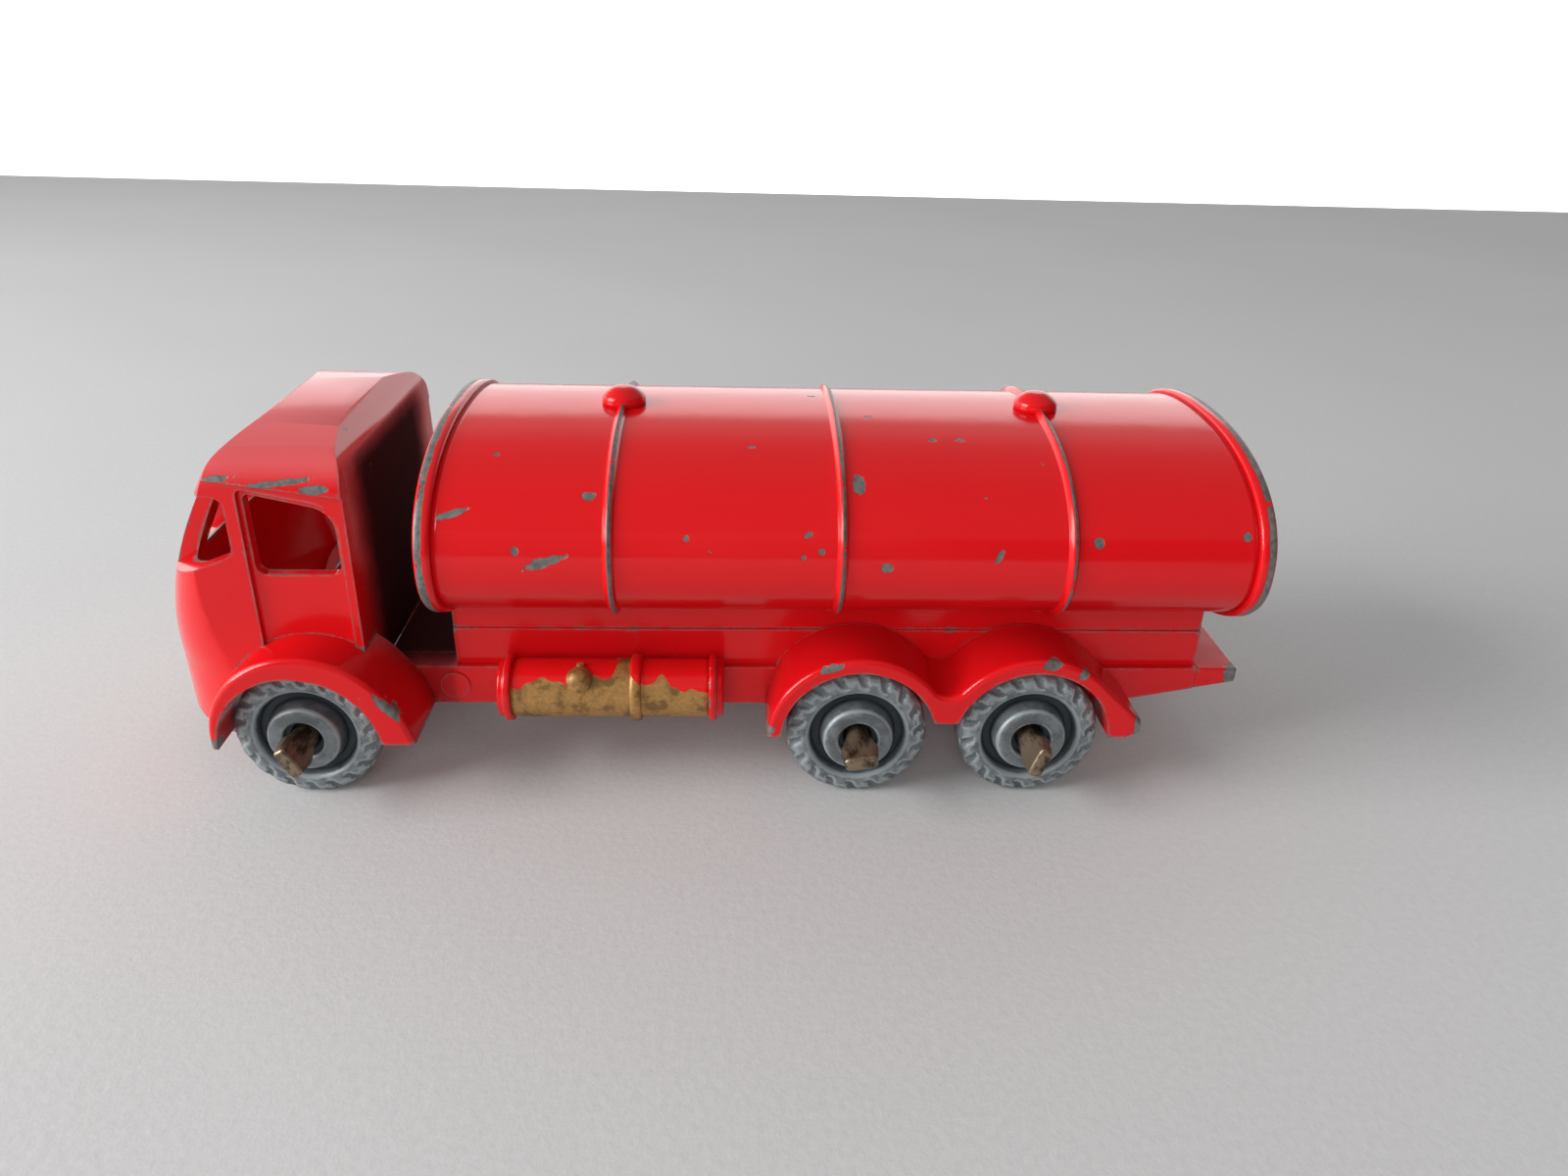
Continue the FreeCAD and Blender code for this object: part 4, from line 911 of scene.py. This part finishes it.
class BuildAxles(bpy.types.Operator):
    """Builds the three axles, each a round rod crimped flat at both ends."""

    bl_idname = "tanker.axles"
    bl_label = "Axles"

    def execute(self, context):
        turns = {"front": 118.0, "middle": 8.0, "rear": 70.0}
        for axle in AXLES:
            self.rod(context.scene.tanker_wheel, axle + "_axle", math.radians(turns[axle]))
        return {"FINISHED"}

    def rod(self, s, node, turn):
        """Rod and crimps: a section |u/a|^n + |w/b|^n = 1 whose half-widths a, b and n change with y."""
        low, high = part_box(node)
        centre = (low + high) / 2.0
        tip = high.y
        start = tip - s.crimp
        stations = np.array([0.0, start - 0.15 * MM, start, start + 0.4 * s.crimp, tip - 0.12 * MM,
                             tip - 0.03 * MM, tip])
        wide = np.array([s.rod, s.rod, 0.80 * MM, 1.10 * MM, 0.95 * MM, 0.86 * MM, 0.62 * MM])
        thin = np.array([s.rod, s.rod, 0.70 * MM, 0.50 * MM, 0.42 * MM, 0.34 * MM, 0.16 * MM])
        squareness = np.array([2.0, 2.0, 2.3, 3.4, 4.2, 4.0, 3.5])
        y = np.concatenate([np.linspace(0.0, start - 0.15 * MM, 8)[:-1],
                            np.linspace(start - 0.15 * MM, tip - 0.12 * MM, 22)[:-1],
                            np.linspace(tip - 0.12 * MM, tip, 7)])
        a = np.interp(y, stations, wide)[:, None]
        b = np.interp(y, stations, thin)[:, None]
        n = np.interp(y, stations, squareness)[:, None]
        round_ = np.linspace(0.0, 2 * math.pi, 56, endpoint=False)
        c, w = np.cos(round_), np.sin(round_)
        reach = (np.abs(c) ** n + np.abs(w) ** n) ** (-1.0 / n)
        u, v = a * reach * c, b * reach * w
        x = centre.x + u * math.cos(turn) + v * math.sin(turn)
        z = centre.z - u * math.sin(turn) + v * math.cos(turn)
        half = np.stack([x, np.broadcast_to(y[:, None], x.shape), z], axis=-1)
        other = half[1:][::-1] * np.array([1.0, -1.0, 1.0])
        piece = skin(node + "_skin", np.concatenate([other, half]))
        mark_wear(piece, 0.12 * MM)
        paint(piece, "axle_metal", node, "axle_steel", node)


class BuildStage(bpy.types.Operator):
    """Lays the card floor, hangs the lights and sets up the camera."""

    bl_idname = "tanker.stage"
    bl_label = "Stage, light and camera"

    def execute(self, context):
        s = context.scene.tanker_stage
        self.floor(s)
        self.sky(context.scene)
        self.lamp("key", Vector((0.34, 0.10, 0.17)), 0.22, s.key_power)
        self.lamp("fill", Vector((0.05, 0.38, 0.15)), 0.24, s.fill_power)
        self.camera(context.scene, s)
        context.scene.view_settings.view_transform = "Standard"
        return {"FINISHED"}

    def floor(self, s):
        """Flat card that ends a little way behind the lorry."""
        mesh = bpy.data.meshes.new("floor")
        far, wide, near, slant = -0.285, 1.4, 0.9, 0.012
        corners = [(-wide, far + slant, 0), (wide, far - slant, 0), (wide, near, 0), (-wide, near, 0)]
        mesh.from_pydata(corners, [], [(0, 1, 2, 3)])
        floor = placed("floor", mesh)
        grey_card(s)
        mesh.materials.append(bpy.data.materials["grey_card"])

    def sky(self, scene):
        """Surroundings: a bright window wall behind and to the nose's side, a pale ceiling, a dark room.

        The window and the wall over it are steps up the sky, and both fade round to the front; the
        ceiling is a step up all round, and the dark room is what is left.
        """
        world = bpy.data.worlds.new("studio")
        scene.world = world
        world.use_nodes = True
        s = Nodes(world.node_tree)
        ahead = s.node("ShaderNodeTexCoord").outputs["Generated"]

        def step(axis, first, last):
            """0 to 1, smoothly, as the direction's share along an axis goes from first to last."""
            share = s.node("ShaderNodeVectorMath", operation="DOT_PRODUCT")
            s.plug(share.inputs[0], ahead)
            s.plug(share.inputs[1], axis)
            return s.between(share.outputs["Value"], first, last)

        def up(first, last):
            """0 to 1, smoothly, as the direction climbs from one elevation to another, in degrees."""
            return step((0, 0, 1), math.sin(math.radians(first)), math.sin(math.radians(last)))

        window = s.scale(up(25.0, 26.5), 1.3, 0.0)
        wall = s.scale(up(26.0, 50.0), 0.45, 0.05)
        ceiling = s.scale(up(31.0, 34.0), 0.08, 0.30)
        back = s.maths("MULTIPLY", s.maths("ADD", window, wall), step((0.45, -0.89, 0), -0.10, 0.45))
        background = s.tree.nodes["Background"]
        s.plug(background.inputs["Strength"], s.maths("ADD", back, ceiling))
        background.inputs["Color"].default_value = (1.0, 1.0, 1.0, 1.0)

    def lamp(self, name, place, size, power):
        """Square area light aimed at the middle of the lorry."""
        light = bpy.data.lights.new(name, "AREA")
        light.size = size
        light.energy = power
        lamp = placed(name, light)
        lamp.visible_glossy = name == "key"
        aim = Vector((0.0, 0.0, 0.008)) - place
        lamp.matrix_world = Matrix.Translation(place) @ aim.to_track_quat("-Z", "Y").to_matrix().to_4x4()

    def camera(self, scene, s):
        """Camera at a pitch, a heading and a roll."""
        ahead = Vector((-math.sin(s.heading) * math.cos(s.pitch), -math.cos(s.heading) * math.cos(s.pitch),
                        -math.sin(s.pitch)))
        level = ahead.cross(Vector((0, 0, 1))).normalized()
        upright = level.cross(ahead)
        right = level * math.cos(s.roll) + upright * math.sin(s.roll)
        up = upright * math.cos(s.roll) - level * math.sin(s.roll)
        turn = Matrix((right, up, -ahead)).transposed().to_4x4()
        data = bpy.data.cameras.new("camera")
        data.lens = s.lens
        data.sensor_width = 36.0
        data.clip_start = 1 * MM
        data.clip_end = 20.0
        camera = placed("camera", data)
        camera.matrix_world = Matrix.Translation(Vector(s.eye)) @ turn
        scene.camera = camera


# ---- the add-on
STEPS = ("materials", "castings", "grille", "tank", "fillers", "fuel_tanks", "wheels", "axles", "stage")


class TankerPanel(bpy.types.Panel):
    """Lists the settings and the operators that build each piece."""

    bl_idname = "VIEW3D_PT_tanker"
    bl_label = "Toy tanker lorry"
    bl_space_type = "VIEW_3D"
    bl_region_type = "UI"
    bl_category = "Tanker"

    def draw(self, context):
        for group in GROUPS:
            box = self.layout.box()
            settings = getattr(context.scene, group)
            for name in settings.bl_rna.properties.keys():
                if name not in ("rna_type", "name"):
                    box.prop(settings, name)
        for step in STEPS:
            self.layout.operator("tanker." + step)


GROUPS = {"tanker_enamel": EnamelSettings, "tanker_tank": TankSettings, "tanker_wheel": WheelSettings,
          "tanker_metal": MetalSettings, "tanker_stage": StageSettings}
OPERATORS = (BuildMaterials, BuildCastings, BuildGrille, BuildTank, BuildFillers, BuildFuelTanks,
             BuildWheels, BuildAxles, BuildStage)


def register():
    """Registers the classes and hangs the settings on the scene."""
    for made in tuple(GROUPS.values()) + OPERATORS + (TankerPanel,):
        bpy.utils.register_class(made)
    for name, group in GROUPS.items():
        setattr(bpy.types.Scene, name, PointerProperty(type=group))


def unregister():
    """Takes everything away again."""
    for name in GROUPS:
        delattr(bpy.types.Scene, name)
    for made in reversed(tuple(GROUPS.values()) + OPERATORS + (TankerPanel,)):
        bpy.utils.unregister_class(made)


def main():
    """Builds the whole lorry and its stage."""
    register()
    for step in STEPS:
        getattr(bpy.ops.tanker, step)()


if __name__ == "__main__":
    main()
